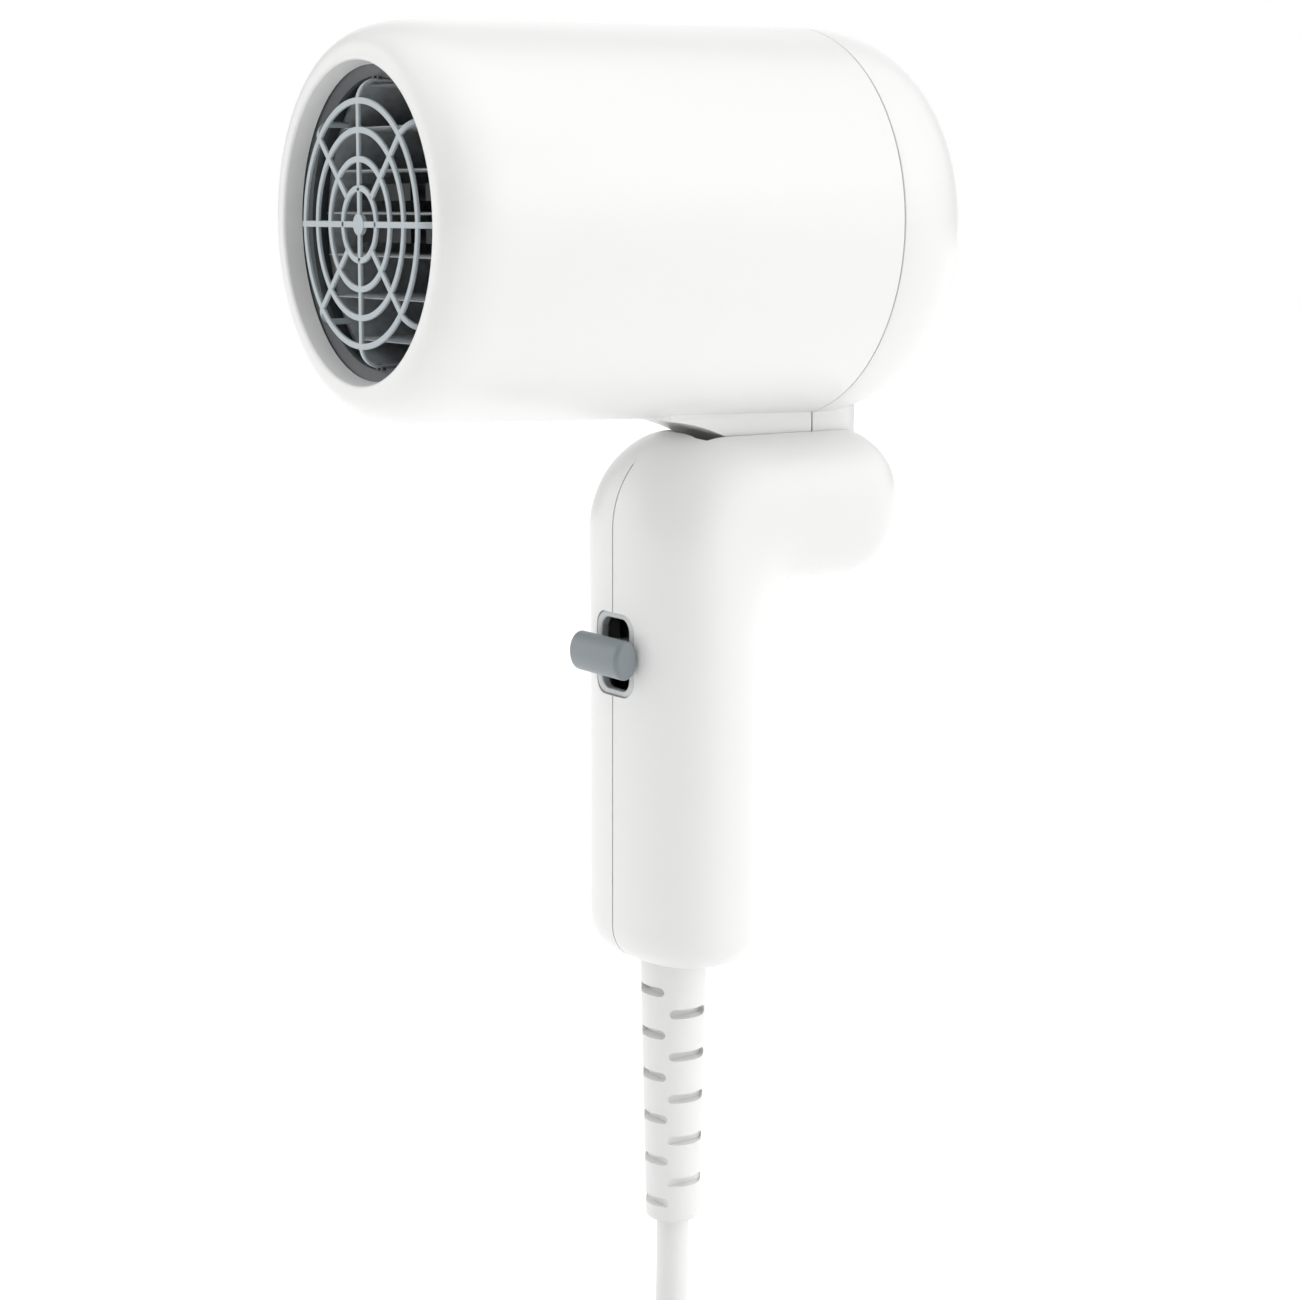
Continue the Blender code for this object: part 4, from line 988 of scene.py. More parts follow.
# %% Woven filter
def weave_tree():
    """Threads across a disc, both ways, near the plane Z = 0; those of one way lie just above those of the
    other.
    """
    tree = node_group(
        "woven_disc",
        [
            ("Threads", "NodeSocketInt", 40),
            ("Radius", "NodeSocketFloat", 0.02),
            ("Thread", "NodeSocketFloat", 0.0003),
            ("Material", "NodeSocketMaterial", None),
        ],
    )
    given = add_node(tree, "NodeGroupInput").outputs
    across = add_node(tree, "ShaderNodeMath", {0: given["Radius"], 1: 2.0}, operation="MULTIPLY")
    pitch = add_node(
        tree, "ShaderNodeMath", {0: across.outputs[0], 1: given["Threads"]}, operation="DIVIDE"
    )
    shift = add_node(tree, "ShaderNodeMath", {0: pitch.outputs[0], 1: 0.5, 2: 0.0}, operation="MULTIPLY")
    begin = add_node(
        tree, "ShaderNodeMath", {0: shift.outputs[0], 1: given["Radius"]}, operation="SUBTRACT"
    )
    start = add_node(tree, "ShaderNodeCombineXYZ", {"Y": begin.outputs[0]})
    step = add_node(tree, "ShaderNodeCombineXYZ", {"Y": pitch.outputs[0]})
    row = add_node(
        tree,
        "GeometryNodeMeshLine",
        {"Count": given["Threads"], "Start Location": start.outputs[0], "Offset": step.outputs[0]},
    )
    place = add_node(tree, "GeometryNodeInputPosition")
    split = add_node(tree, "ShaderNodeSeparateXYZ", {"Vector": place.outputs[0]})
    square = add_node(tree, "ShaderNodeMath", {0: split.outputs["Y"], 1: 2.0}, operation="POWER")
    whole = add_node(tree, "ShaderNodeMath", {0: given["Radius"], 1: 2.0}, operation="POWER")
    left = add_node(
        tree, "ShaderNodeMath", {0: whole.outputs[0], 1: square.outputs[0]}, operation="SUBTRACT"
    )
    chord = add_node(tree, "ShaderNodeMath", {0: left.outputs[0]}, operation="SQRT")
    size = add_node(tree, "ShaderNodeCombineXYZ", {"X": chord.outputs[0], "Y": 1.0, "Z": 1.0})
    line = add_node(
        tree, "GeometryNodeCurvePrimitiveLine", {"Start": (-1.0, 0.0, 0.0), "End": (1.0, 0.0, 0.0)}
    )
    threads = add_node(
        tree,
        "GeometryNodeInstanceOnPoints",
        {"Points": row.outputs["Mesh"], "Instance": line.outputs[0], "Scale": size.outputs[0]},
    )
    lift = add_node(
        tree, "ShaderNodeMath", {0: given["Thread"], 1: 0.45}, operation="MULTIPLY"
    )
    up = add_node(tree, "ShaderNodeCombineXYZ", {"Z": lift.outputs[0]})
    above = add_node(
        tree, "GeometryNodeTransform", {"Geometry": threads.outputs[0], "Translation": up.outputs[0]}
    )
    down = add_node(tree, "ShaderNodeVectorMath", {0: up.outputs[0], "Scale": -1.0}, operation="SCALE")
    below = add_node(
        tree,
        "GeometryNodeTransform",
        {"Geometry": threads.outputs[0], "Translation": down.outputs[0], "Rotation": (0, 0, pi / 2)},
    )
    both = add_node(tree, "GeometryNodeJoinGeometry")
    for part in (above.outputs[0], below.outputs[0]):
        tree.links.new(part, both.inputs[0])
    real = add_node(tree, "GeometryNodeRealizeInstances", {"Geometry": both.outputs[0]})
    half = add_node(tree, "ShaderNodeMath", {0: given["Thread"], 1: 0.5}, operation="MULTIPLY")
    ring = add_node(tree, "GeometryNodeCurvePrimitiveCircle", {"Resolution": 6, "Radius": half.outputs[0]})
    cloth = add_node(
        tree,
        "GeometryNodeCurveToMesh",
        {"Curve": real.outputs[0], "Profile Curve": ring.outputs[0], "Fill Caps": True},
    )
    painted = add_node(
        tree,
        "GeometryNodeSetMaterial",
        {"Geometry": cloth.outputs[0], "Material": given["Material"]},
    )
    add_node(tree, "NodeGroupOutput", {"Geometry": painted.outputs[0]})
    return tree


FILTER_THREADS = 48


def inlet_filter():
    """The mesh, in a thin ring that holds its threads' ends."""
    low, high = box_mm("inlet_filter")
    radius = (high.z - low.z) / 2
    mesh = run_tree(
        poly_curve("inlet_mesh", [(0, 0, 0), (1, 0, 0)]),
        weave_tree(),
        {
            "Threads": FILTER_THREADS,
            "Radius": (radius - 0.6) * MM,
            "Thread": 0.3 * MM,
            "Material": filter_nylon,
        },
    )
    face_outlet(mesh, (low.x + high.x) / 2)
    loop = [(low.x, radius - 1.2), (low.x, radius), (high.x, radius), (high.x, radius - 1.2)]
    ring = solid("filter_ring", turned(loop, 96, (0, 0, AXIS_Z)))
    round_edges(ring, 0.15, 2)
    return mesh, ring


mesh, ring = inlet_filter()
settle(mesh, "barrel", filter_nylon, "filter_mesh", "inlet_filter")
settle(ring, "barrel", black_nylon, "filter_mesh", "inlet_filter")

# %% [markdown]
# ## Handle
# The handle is one smooth seven-shaped body, split along its middle plane into two shells. A loft suits
# it: each section is a rounded oval across the seven's arm, and the arm's outer and inner edges are
# straight lines and arcs. The hollow, the slot for the neck, the switch's window and the holes are then
# cut from each half, and the halves keep a fine gap that reads as the parting line.

# %% Sections along the handle
GRIP_HALF_DEPTH = -GRIP_LOW.x
GRIP_HALF_WIDTH = GRIP_HIGH.y
GRIP_BOTTOM = GRIP_LOW.z
HEAD_TOP = GRIP_HIGH.z
HEAD_HALF = 15.7
HEAD_REACH = GRIP_HIGH.x - HINGE.x
GRIP_POWER = 2.2
HEAD_POWER = 2.7  # the section grows squarer towards the head
BOTTOM_ROUND = 8.0
KNUCKLE_R = 19.5
FILLET_R = 10.0
SHELL_WALL = 2.4
SECTION_POINTS = 96


def signed_power(value, power):
    return abs(value) ** power * (1 if value >= 0 else -1)


def section(station, inset=0.0, points=SECTION_POINTS):
    """A rounded section at a station of the handle, moved inwards by inset."""
    outer, inner, half_width, power = station
    outer, inner = Vector(outer), Vector(inner)
    centre = (outer + inner) / 2
    half = (outer - inner).length / 2
    way = (outer - inner) / (2 * half)
    half = max(half - inset, 0.2)
    width = max(half_width - inset, 0.2)
    ring = []
    for k in range(points):
        turn = 2 * pi * k / points
        depth = half * signed_power(cos(turn), 2 / power)
        side = width * signed_power(sin(turn), 2 / power)
        ring.append((centre.x + way.x * depth, side, centre.y + way.y * depth))
    return ring


def grip_stations():
    """The rounded bottom of the grip and its straight part."""
    stations = []
    for k in range(15):
        turn = pi / 2 * k / 14
        inset = BOTTOM_ROUND * (1 - sin(turn))
        z = GRIP_BOTTOM + BOTTOM_ROUND * (1 - cos(turn))
        depth = GRIP_HALF_DEPTH - inset
        stations.append(((-depth, z), (depth, z), GRIP_HALF_WIDTH - inset, GRIP_POWER))
    for z in (-36, -27, -18, -9, 0, 9):
        stations.append(((-GRIP_HALF_DEPTH, z), (GRIP_HALF_DEPTH, z), GRIP_HALF_WIDTH, GRIP_POWER))
    return stations


def knuckle_stations(steps=60):
    """Chords from the outer edge, round the knuckle, to the inner edge, round its fillet."""
    straight_top = HEAD_TOP - 2 * HEAD_HALF - FILLET_R
    knuckle = (KNUCKLE_R - GRIP_HALF_DEPTH, HEAD_TOP - KNUCKLE_R)
    fillet_x = GRIP_HALF_DEPTH + FILLET_R
    rise = knuckle[1] - straight_top
    bend = KNUCKLE_R * pi / 2
    run = fillet_x - knuckle[0]
    whole = rise + bend + run
    stations = []
    for k in range(steps + 1):
        travelled = whole * k / steps
        if travelled <= rise:
            outer = (-GRIP_HALF_DEPTH, straight_top + travelled)
        elif travelled <= rise + bend:
            turn = pi - (travelled - rise) / KNUCKLE_R
            outer = (knuckle[0] + KNUCKLE_R * cos(turn), knuckle[1] + KNUCKLE_R * sin(turn))
        else:
            outer = (knuckle[0] + travelled - rise - bend, HEAD_TOP)
        turn = pi - pi / 2 * k / steps
        inner = (fillet_x + FILLET_R * cos(turn), straight_top + FILLET_R * sin(turn))
        power = GRIP_POWER + (HEAD_POWER - GRIP_POWER) * k / steps
        stations.append((outer, inner, GRIP_HALF_WIDTH, power))
    return stations


def head_stations():
    """The head from above the hinge to its rounded rear end."""
    stations = []
    z = HEAD_TOP - HEAD_HALF
    for k in range(25):
        share = sin(radians(87 * k / 24))
        half = HEAD_HALF * sqrt(1 - share**2)
        width = GRIP_HALF_WIDTH * (1 - share**HEAD_POWER) ** (1 / HEAD_POWER)
        x = HINGE.x + HEAD_REACH * share
        stations.append(((x, z + half), (x, z - half), width, HEAD_POWER))
    return stations


def handle_stations():
    """Chords across the seven, from the bottom of the grip to the rear of the head.

    Each is the outer point, the inner point, the half width there and the section's power.
    """
    return grip_stations() + knuckle_stations() + head_stations()


print("handle has", len(handle_stations()), "sections")

# %% Cutters
SLOT_HALF = 10.0
SLOT_FRONT_R = 39.8
SLOT_FLOOR = 31.1
SLOT_LEDGE = 7.0
PIN_R = 2.5
LINE_HALF = 0.2
LINE_TOP = 50.7  # above this the two shells meet too closely for the line to show
CLOSED_HALF = 0.01
WINDOW_GAP = 0.06
WINDOW_CORNER = 3.4
HOLLOW_TAPER = 0.8  # the hollow's floor, as a share of its first section
POST_R = 3.3
POST_REACH = 18.8
SHANK_R = 1.25
SCREW_HEAD_R = 2.55
SCREW_HEAD_Y = 12.85
CASE_SCREWS = [middle(box_mm(name)) for name in ("case_screw_1", "case_screw_2")]
SWITCH_MIDDLE = middle(box_mm("switch_bezel"))
BEZEL_HALF_Y = box_mm("switch_bezel")[1].y
BEZEL_HALF_Z = box_mm("switch_bezel")[1].z - SWITCH_MIDDLE.z


def fork_outline(grow):
    """Side view of the slot that the neck drops into, moved outwards by grow."""
    front = arc(NECK_FRONT_CENTRE, SLOT_FRONT_R - grow, 73.2, 17.5, 40)
    front = [(x, z) for x, z in front if z > SLOT_FLOOR - grow + 0.5]
    deep = SLOT_FLOOR - grow
    above = HEAD_TOP + 14.0
    below = HEAD_TOP - 2 * HEAD_HALF - 8.0
    ledge = HINGE.x + SLOT_LEDGE - grow
    rear = HINGE.x + HEAD_REACH + 10.0
    start = (front[0][0] - grow, above)
    bottom = [(front[-1][0] + 0.6, deep), (ledge, deep), (ledge, below)]
    return [start, (start[0], front[0][1])] + front[1:] + bottom + [(rear, below), (rear, above)]


def hollow():
    end = HINGE.x + HEAD_REACH - SHELL_WALL - 1.5
    floor_z = GRIP_BOTTOM + SHELL_WALL
    inner = [s for s in handle_stations()[::3] if s[0][0] <= end and s[0][1] >= floor_z]
    rings = [section(station, SHELL_WALL, 40) for station in inner]
    low = [(x * HOLLOW_TAPER, y * HOLLOW_TAPER, floor_z) for x, y, _ in rings[0]]
    space = solid("hollow", loft([low] + rings))
    walls = prism(fork_outline(SHELL_WALL), -SLOT_HALF - SHELL_WALL, SLOT_HALF + SHELL_WALL, "Y")
    return carve(space, [solid("fork_walls", walls)])


def handle_cutters():
    half_y, half_z = BEZEL_HALF_Y + WINDOW_GAP, BEZEL_HALF_Z + WINDOW_GAP
    frame_outline = rounded_outline(
        half_y, half_z, WINDOW_CORNER + WINDOW_GAP, 12, (0.0, SWITCH_MIDDLE.z)
    )
    tools = [
        hollow(),
        solid("slot", prism(fork_outline(0.0), -SLOT_HALF, SLOT_HALF, "Y")),
        solid("window", prism(frame_outline, -22.0, -9.0, "X")),
        solid("relief_hole", rod(GRIP_BOTTOM - 5, GRIP_BOTTOM + 12, 5.6, 48, (0, 0, 0), "Z")),
        solid("pin_bore", rod(-15.6, 15.6, PIN_R + 0.05, 40, (HINGE.x, 0, HINGE.z), "Y")),
    ]
    return tools


def screw_posts():
    posts = []
    for c in CASE_SCREWS:
        posts.append(solid("post", rod(-POST_REACH, POST_REACH, POST_R, 32, (c.x, 0, c.z), "Y")))
    return posts


def screw_holes():
    tools = []
    for c in CASE_SCREWS:
        place = (c.x, 0, c.z)
        tools.append(solid("shank_hole", rod(-12.15, 14.0, SHANK_R, 24, place, "Y")))
        tools.append(solid("head_hole", rod(SCREW_HEAD_Y, 24.0, SCREW_HEAD_R, 32, place, "Y")))
    return tools


def handle_half(name, side):
    """One shell of the handle; side -1 is the one towards -Y."""
    shell = solid(name, loft([section(station) for station in handle_stations()]))
    carve(shell, handle_cutters())
    carve(shell, screw_posts(), "UNION")
    low_y, high_y = sorted((side * -60.0, side * CLOSED_HALF))
    other = solid("other_side", block((-80, low_y, -80), (80, high_y, 90)))
    line = solid("line", block((-80, -LINE_HALF, -80), (80, LINE_HALF, LINE_TOP)))
    return carve(shell, screw_holes() + [other, line])


# %% Handle shells
settle(handle_half("grip_near", -1), "handle", white_abs, "white_plastic", "handle_near")
settle(handle_half("grip_far", 1), "handle", white_abs, "white_plastic", "handle_far")

# %% [markdown]
# ## Switch
# A pale rim is let into the front of the grip, and a round bar of grey plastic lies across its slot. It
# slides up for heat and down for cool. The bar is a loft with rolled ends, because a plain cylinder
# would catch no highlight round its rim.

# %% Rim and knob
SWITCH_SLOT_HALF_Y = 5.0
SWITCH_SLOT_HALF_Z = 7.25
SWITCH_SLOT_CORNER = 2.6
BAR_HALF_X = 2.75
BAR_ROLL = 1.1  # radius of the bar's rolled ends
STEM_HALF_Y = 4.2
STEM_HALF_Z = 2.4


def switch_rim():
    low, high = box_mm("switch_bezel")
    centre = (0.0, SWITCH_MIDDLE.z)
    outline = rounded_outline(BEZEL_HALF_Y, BEZEL_HALF_Z, WINDOW_CORNER, 12, centre)
    hole = rounded_outline(SWITCH_SLOT_HALF_Y, SWITCH_SLOT_HALF_Z, SWITCH_SLOT_CORNER, 12, centre)
    rim = solid("switch_rim", prism(outline, low.x, high.x, "X"))
    carve(rim, [solid("slot", prism(hole, low.x - 2, high.x + 2, "X"))])
    return round_edges(rim, 0.3, 3, 50)


def switch_bar():
    """An oval bar across the slot, with rolled ends, on a flat stem that goes in through the slot."""
    low, high = box_mm("switch_knob")
    half_z = (high.z - low.z) / 2
    centre = Vector((low.x + BAR_HALF_X, 0, (low.z + high.z) / 2))
    ends = []
    for k in range(9):
        turn = pi / 2 * k / 8
        ends.append((-high.y + BAR_ROLL * (1 - cos(turn)), BAR_ROLL * (1 - sin(turn))))
    stations = ends + [(-y, inset) for y, inset in ends[::-1]]
    rings = []
    for y, inset in stations:
        turns = [2 * pi * k / 72 for k in range(72)]
        deep = BAR_HALF_X - inset
        tall = half_z - inset
        rings.append([(centre.x + deep * cos(t), y, centre.z + tall * sin(t)) for t in turns])
    bar = solid("switch_bar", loft(rings))
    stem_low = (centre.x, -STEM_HALF_Y, centre.z - STEM_HALF_Z)
    stem = block(stem_low, (high.x, STEM_HALF_Y, centre.z + STEM_HALF_Z))
    return carve(bar, [solid("stem", stem)], "UNION")


settle(switch_rim(), "handle", rim_abs, "bezel_plastic", "switch_bezel")
settle(switch_bar(), "knob", knob_abs, "knob_plastic", "switch_knob")

# %% [markdown]
# ## Strain relief
# A tapered sleeve of soft PVC stops the lead from kinking where it leaves the grip. What lets it bend
# is a ladder of slots, two to a row, each row turned a quarter from the last. A tree places a
# slot-shaped cutter by that rule and takes every one of them from the sleeve.

# %% Slot tree
def ladder_tree():
    """Takes a cutter from the object's mesh, two to a row, each row a quarter turn from the last."""
    tree = node_group(
        "ladder_of_slots",
        [
            ("Rows", "NodeSocketInt", 11),
            ("First Height", "NodeSocketFloat", -0.058),
            ("Pitch", "NodeSocketFloat", 0.00456),
            ("Cutter", "NodeSocketObject", None),
            ("Material", "NodeSocketMaterial", None),
        ],
    )
    given = add_node(tree, "NodeGroupInput").outputs
    count = add_node(tree, "ShaderNodeMath", {0: given["Rows"], 1: 2.0}, operation="MULTIPLY")
    line = add_node(tree, "GeometryNodeMeshLine", {"Count": count.outputs[0], "Offset": (0, 0, 0)})
    index = add_node(tree, "GeometryNodeInputIndex").outputs["Index"]
    halved = add_node(tree, "ShaderNodeMath", {0: index, 1: 0.5}, operation="MULTIPLY")
    row = add_node(tree, "ShaderNodeMath", {0: halved.outputs[0]}, operation="FLOOR")
    drop = add_node(tree, "ShaderNodeMath", {0: row.outputs[0], 1: given["Pitch"]}, operation="MULTIPLY")
    height = add_node(
        tree, "ShaderNodeMath", {0: given["First Height"], 1: drop.outputs[0]}, operation="SUBTRACT"
    )
    place = add_node(tree, "ShaderNodeCombineXYZ", {"Z": height.outputs[0]})
    ladder = add_node(
        tree, "GeometryNodeSetPosition", {"Geometry": line.outputs["Mesh"], "Position": place.outputs[0]}
    )
    # Half a turn for each slot, and a quarter more for each row.
    opposite = add_node(tree, "ShaderNodeMath", {0: index, 1: pi}, operation="MULTIPLY")
    quarter = add_node(tree, "ShaderNodeMath", {0: row.outputs[0], 1: pi / 2}, operation="MULTIPLY")
    angle = add_node(
        tree, "ShaderNodeMath", {0: opposite.outputs[0], 1: quarter.outputs[0]}, operation="ADD"
    )
    turn = add_node(tree, "ShaderNodeCombineXYZ", {"Z": angle.outputs[0]})
    cutter = add_node(tree, "GeometryNodeObjectInfo", {"Object": given["Cutter"]})
    slots = add_node(
        tree,
        "GeometryNodeInstanceOnPoints",
        {"Points": ladder.outputs[0], "Instance": cutter.outputs["Geometry"], "Rotation": turn.outputs[0]},
    )
    real = add_node(tree, "GeometryNodeRealizeInstances", {"Geometry": slots.outputs[0]})
    carved = add_node(
        tree,
        "GeometryNodeMeshBoolean",
        {"Mesh 1": given["Geometry"], "Mesh 2": real.outputs[0]},
        operation="DIFFERENCE",
        solver="EXACT",
    )
    painted = add_node(
        tree,
        "GeometryNodeSetMaterial",
        {"Geometry": carved.outputs["Mesh"], "Material": given["Material"]},
    )
    add_node(tree, "NodeGroupOutput", {"Geometry": painted.outputs[0]})
    return tree


# %% Strain relief
RELIEF_TOP_R = 6.85
RELIEF_END_R = 5.6
RELIEF_ROWS = 11
RELIEF_FIRST = -58.0
RELIEF_PITCH = 4.56
SLOT_HEIGHT = 2.0
SLOT_LENGTH = 8.6
SLOT_FLOOR_R = 3.7
CORE_R = 0.05  # a turned solid's profile starts this close to its axis
NECK_OF_RELIEF_R = 5.2  # the part of the sleeve that the grip holds
END_ROUND = 0.7
COLLAR_ROUND = 0.3


def strain_relief():
    low, high = box_mm("strain_relief")
    collar = GRIP_BOTTOM - GAP
    round_middle = (low.z + END_ROUND, RELIEF_END_R - END_ROUND)
    profile = [(low.z, CORE_R), (low.z, round_middle[1])]
    for a in (30, 60, 90):
        along = round_middle[0] - END_ROUND * cos(radians(a))
        profile.append((along, round_middle[1] + END_ROUND * sin(radians(a))))
    profile += [(collar - COLLAR_ROUND, RELIEF_TOP_R), (collar, RELIEF_TOP_R - COLLAR_ROUND)]
    profile += [(collar, NECK_OF_RELIEF_R), (high.z, NECK_OF_RELIEF_R), (high.z, CORE_R)]
    sleeve = solid("cord_sleeve", turned(profile, 96, (0, 0, 0), "Z", closed_loop=False))
    outline = rounded_outline(SLOT_LENGTH / 2, SLOT_HEIGHT / 2, SLOT_HEIGHT / 2 - 0.02, 8)
    cutter = solid("slot_cutter", prism(outline, SLOT_FLOOR_R, 9.0, "X"))
    made = run_tree(
        sleeve,
        ladder_tree(),
        {
            "Rows": RELIEF_ROWS,
            "First Height": RELIEF_FIRST * MM,
            "Pitch": RELIEF_PITCH * MM,
            "Cutter": cutter,
            "Material": cord_pvc,
        },
    )
    bpy.data.objects.remove(cutter, do_unlink=True)
    made.data.shade_smooth()
    made.data.set_sharp_from_angle(angle=radians(SHARP))
    return made


settle(strain_relief(), "handle", cord_pvc, "cord_pvc", "strain_relief")

# %% [markdown]
# ## Lead, tie and plug
# The lead is a curve with a round bevel, so its length is exact. A strap ties the coil. The plug is a
# moulded block with a waisted grip and a ribbed sleeve, and its two blades have the hole and the
# chamfered tip that guide them into a socket.

# %% Lead
lead = poly_curve("supply_cord", ROUTE)
lead.data.bevel_depth = CORD_D / 2 * MM
lead.data.bevel_resolution = 6
lead.data.use_fill_caps = True
settle(lead, "handle", cord_pvc, "cord_pvc", "cord", "cord_lead", "cord_coil")


# %% Tie
TIE_SLACK = 0.1
TIE_THICK = 0.6
TIE_WIDTH = 5.0
TIE_ANGLE = -140.0  # degrees round the coil


def cord_tie():
    """A strap round the coil's section, on the side away from the free stretch."""
    half_r = (COIL_OUTER - COIL_INNER + CORD_D) / 2
    half_z = (COIL_HIGH.z - COIL_LOW.z) / 2
    inner_r = half_r + TIE_SLACK
    inner_z = half_z + TIE_SLACK
    inner = rounded_outline(inner_r, inner_z, CORD_D / 2, 10)
    outer = rounded_outline(inner_r + TIE_THICK, inner_z + TIE_THICK, CORD_D / 2 + TIE_THICK, 10)
    turn = Matrix.Rotation(radians(TIE_ANGLE), 3, "Z")
    radius = (COIL_OUTER + COIL_INNER) / 2
    rows = []
    for outline, side in ((inner, -1), (outer, -1), (outer, 1), (inner, 1)):
        ring = [turn @ Vector((radius + a, side * TIE_WIDTH / 2, b)) + COIL_MIDDLE for a, b in outline]
        rows.append(ring)
    tie = solid("cord_tie", loft(rows, closed_loop=True))
    return round_edges(tie, 0.15, 2, 60)


tie = settle(cord_tie(), "handle", cord_pvc, "cord_pvc")


# %% Plug
PLUG_LENGTH = 26.0
PLUG_CORNER = 3.2
SLEEVE_LENGTH = 22.0
SLEEVE_START_R = 4.2
SLEEVE_END_R = 5.6
SLEEVE_RIBS = 8
RIB_DEPTH = 0.35
BLADE_TIP = 1.6
BLADE_HOLE_R = 1.6
BLADE_HOLE_BACK = 4.4


def plug_body():
    low, high = box_mm("plug_body")
    block_start = high.x - PLUG_LENGTH
    centre = middle((Vector((block_start, low.y, low.z)), high))
    half_y, half_z = (high.y - low.y) / 2, (high.z - low.z) / 2
    rings = []
    # How far along the block, and its size there as a share of the whole.
    stations = [(0.0, 0.80), (0.6, 0.90), (1.6, 0.97), (3.0, 1.0)]
    stations += [(8.0, 0.97), (13.0, 0.95), (18.0, 0.97)]
    stations += [(23.0, 1.0), (24.6, 0.99), (25.5, 0.96), (PLUG_LENGTH, 0.93)]
    for along, share in stations:
        outline = rounded_outline(half_y * share, half_z * share, PLUG_CORNER * share, 8)
        rings.append([(block_start + along, centre.y + a, centre.z + b) for a, b in outline])
    body = solid("plug_body_moulded", loft(rings))
    sleeve_z = COIL_LOW.z + CORD_D / 2 + 3.0
    profile = [(low.x, CORE_R)]
    steps = SLEEVE_RIBS * 6
    for k in range(steps + 1):
        share = k / steps
        radius = SLEEVE_START_R + (SLEEVE_END_R - SLEEVE_START_R) * share
        groove = RIB_DEPTH * (0.5 - 0.5 * cos(2 * pi * k / 6)) if k < steps else 0.0
        profile.append((low.x + SLEEVE_LENGTH * share, radius - groove))
    profile.append((low.x + SLEEVE_LENGTH, CORE_R))
    sleeve = solid("sleeve", turned(profile, 48, (0, centre.y, sleeve_z), closed_loop=False))
    return carve(body, [sleeve], "UNION")


def plug_blade(name, node):
    low, high = box_mm(node)
    slant = 0.7 * BLADE_TIP
    outline = [(low.x, low.z), (high.x - BLADE_TIP, low.z), (high.x, low.z + slant)]
    outline += [(high.x, high.z - slant), (high.x - BLADE_TIP, high.z), (low.x, high.z)]
    blade = solid(name, prism(outline, low.y, high.y, "Y"))
    hole_middle = (high.x - BLADE_HOLE_BACK, 0, (low.z + high.z) / 2)
    hole = rod(low.y - 1, high.y + 1, BLADE_HOLE_R, 32, hole_middle, "Y")
    carve(blade, [solid("hole", hole)])
    return round_edges(blade, 0.2, 2, 40)


plug = settle(plug_body(), "handle", cord_pvc, "cord_pvc", "plug_body")
blades = [
    settle(plug_blade("blade_%d" % k, node), "handle", plated_steel, "steel", node)
    for k, node in enumerate(("plug_blade_1", "plug_blade_2"), 1)
]
print("cord %.2f m, tie and plug in place" % (path_length(ROUTE) * MM))

# %% [markdown]
# ## What is seen only through the grilles
# The motor and the fan keep their solids, whose shapes are right, and take a finish each. The heater's
# boards are drawn again, because real mica is half a millimetre thick, and its front edges are shaved
# to fit the slots.

# %% Heater boards
BOARD_HALF = 0.25
BOARD_EDGE = 0.05
BOARD_PITCH = 7.9
BOARD_OFFSET = 2.0  # the middle board is this much above the barrel's axis
BOARD_FRONT = LIP_X + 6.8
BOARD_MIDDLE = LIP_X + 10.2
BOARD_END = LIP_X + 50.0
UPRIGHT_FRONT = LIP_X + 32.0
BOARD_REACH = 28.6  # from the barrel's axis to a board's edge
BOARD_FRONT_REACH = 24.6  # the same beside the grille's legs
SHAVED = 1.5  # length of a board's thinned front


def level_board(level, reach, front, end):
    """A level board with a shaved front edge, as wide as the round duct allows at that level."""
    half_width = sqrt(reach**2 - (abs(level) + BOARD_HALF) ** 2)
    z = AXIS_Z + level
    side = [(front, z - BOARD_EDGE), (front + SHAVED, z - BOARD_HALF), (end, z - BOARD_HALF)]
    side += [(end, z + BOARD_HALF), (front + SHAVED, z + BOARD_HALF), (front, z + BOARD_EDGE)]
    return solid("level_board", prism(side, -half_width, half_width, "Y"))


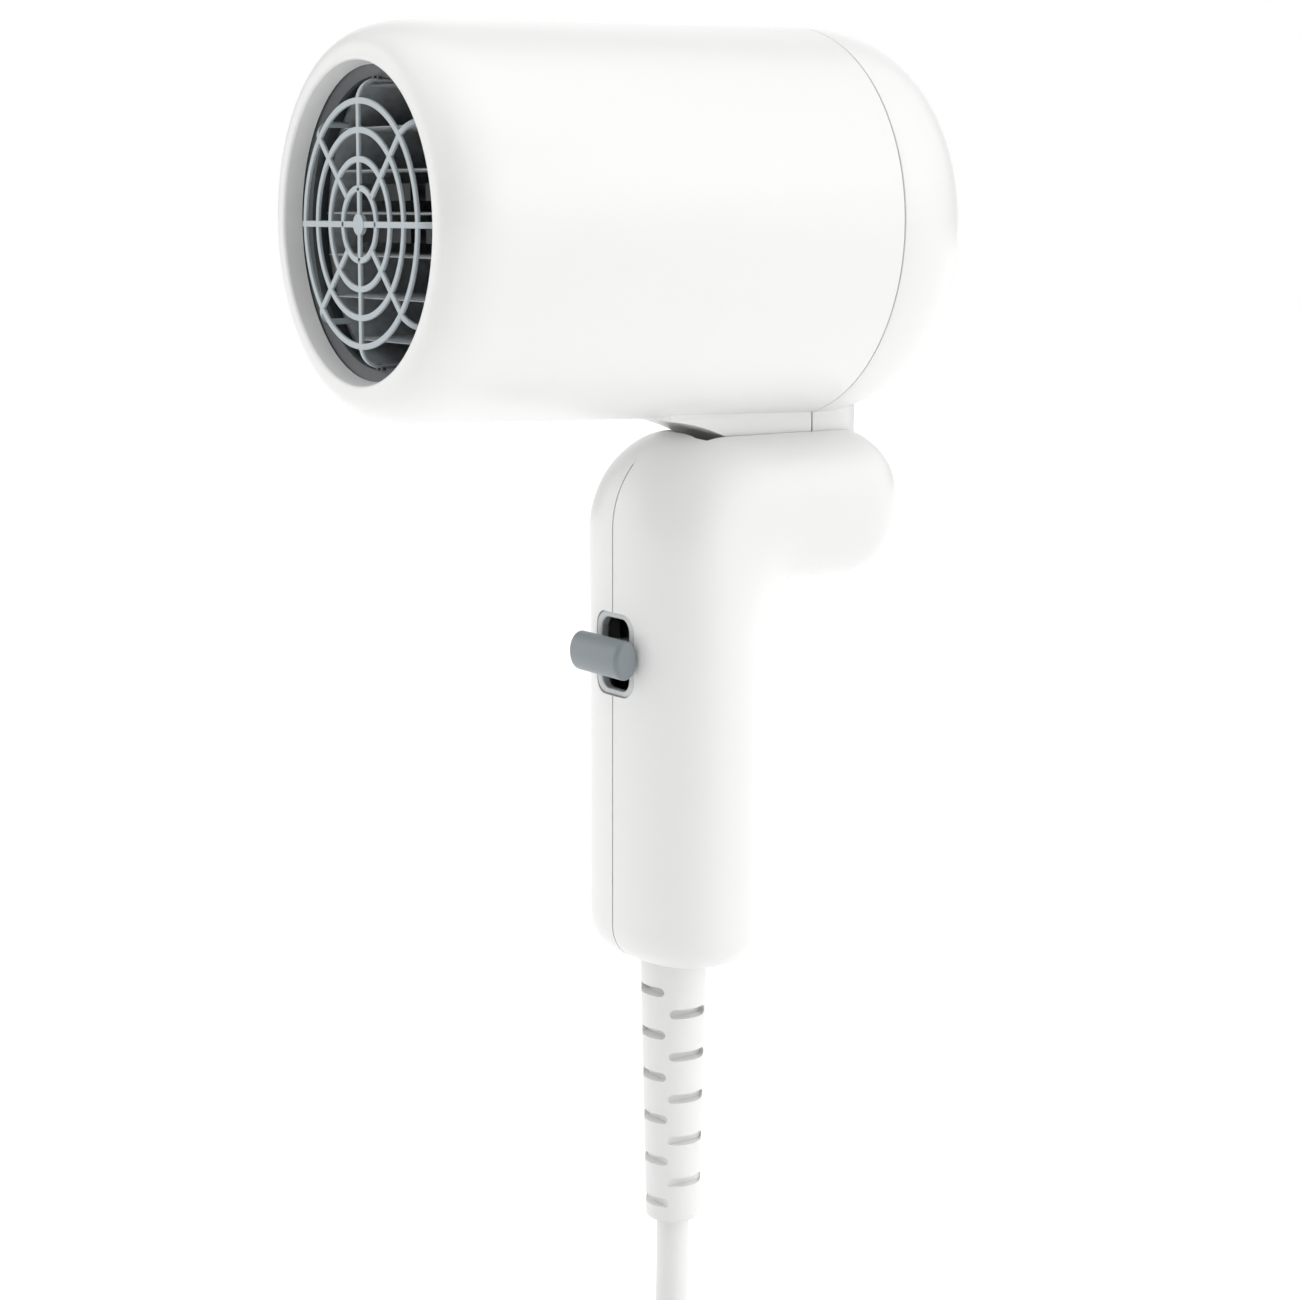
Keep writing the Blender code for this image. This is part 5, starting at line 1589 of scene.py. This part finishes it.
def heater_boards():
    """Seven level boards on one upright board. The front ends are narrower, to clear the grille's legs."""
    top = sqrt(BOARD_REACH**2 - BOARD_HALF**2)
    upright = block((UPRIGHT_FRONT, -BOARD_HALF, AXIS_Z - top), (BOARD_END, BOARD_HALF, AXIS_Z + top))
    whole = solid("heater_frame", upright)
    boards = []
    for k in range(-3, 4):
        level = BOARD_OFFSET + BOARD_PITCH * k
        boards.append(level_board(level, BOARD_REACH, BOARD_MIDDLE, BOARD_END))
        if abs(level) < BOARD_FRONT_REACH - 1.6:
            boards.append(level_board(level, BOARD_FRONT_REACH, BOARD_FRONT, BOARD_MIDDLE + 3.0))
    return carve(whole, boards, "UNION")


settle(heater_boards(), "barrel", mica, "mica_board", "heater_boards")

# %% Finishes for the inner solids
INNER_FINISHES = {
    "heater_sleeve": mica,
    "heater_coil_lower_far": element_strip,
    "heater_coil_lower_near": element_strip,
    "heater_coil_upper_far": element_strip,
    "heater_coil_upper_near": element_strip,
    "thermostat": plated_steel,
    "thermal_fuse": plated_steel,
    "motor_mount": black_nylon,
    "motor_can": plated_steel,
    "motor_shaft": plated_steel,
    "shaft_bush": bush_brass,
    "impeller": black_nylon,
    "hinge_pin": plated_steel,
    "case_screw_1": plated_steel,
    "case_screw_2": plated_steel,
    "clamp_screw_1": plated_steel,
    "clamp_screw_2": plated_steel,
    "switch_body": black_nylon,
    "terminal_block": black_nylon,
    "cord_clamp": black_nylon,
}
for node, look_of_node in INNER_FINISHES.items():
    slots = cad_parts[node].data.materials
    slots.clear()
    slots.append(look_of_node)
print(len(INNER_FINISHES), "inner solids painted")

# %% [markdown]
# ## Table
# The dryer is held above a white table on which only its coiled lead lies.

# %% Table
TABLE_SIZE = 12000.0
TIE_UNDER = 0.7


def table():
    z = COIL_LOW.z - TIE_UNDER
    half = TABLE_SIZE / 2
    top = solid("table_top", block((-half, -half, z - 20.0), (half, half, z)))
    made = bpy.data.materials.new("white_laminate")
    made.use_nodes = True
    shader = made.node_tree.nodes["Principled BSDF"]
    shader.inputs["Base Color"].default_value = srgb("FAFAFA")
    shader.inputs["Roughness"].default_value = 0.9
    shader.inputs["Emission Color"].default_value = srgb("FFFFFF")
    shader.inputs["Emission Strength"].default_value = 0.09
    top.data.materials.append(made)
    return top


table()
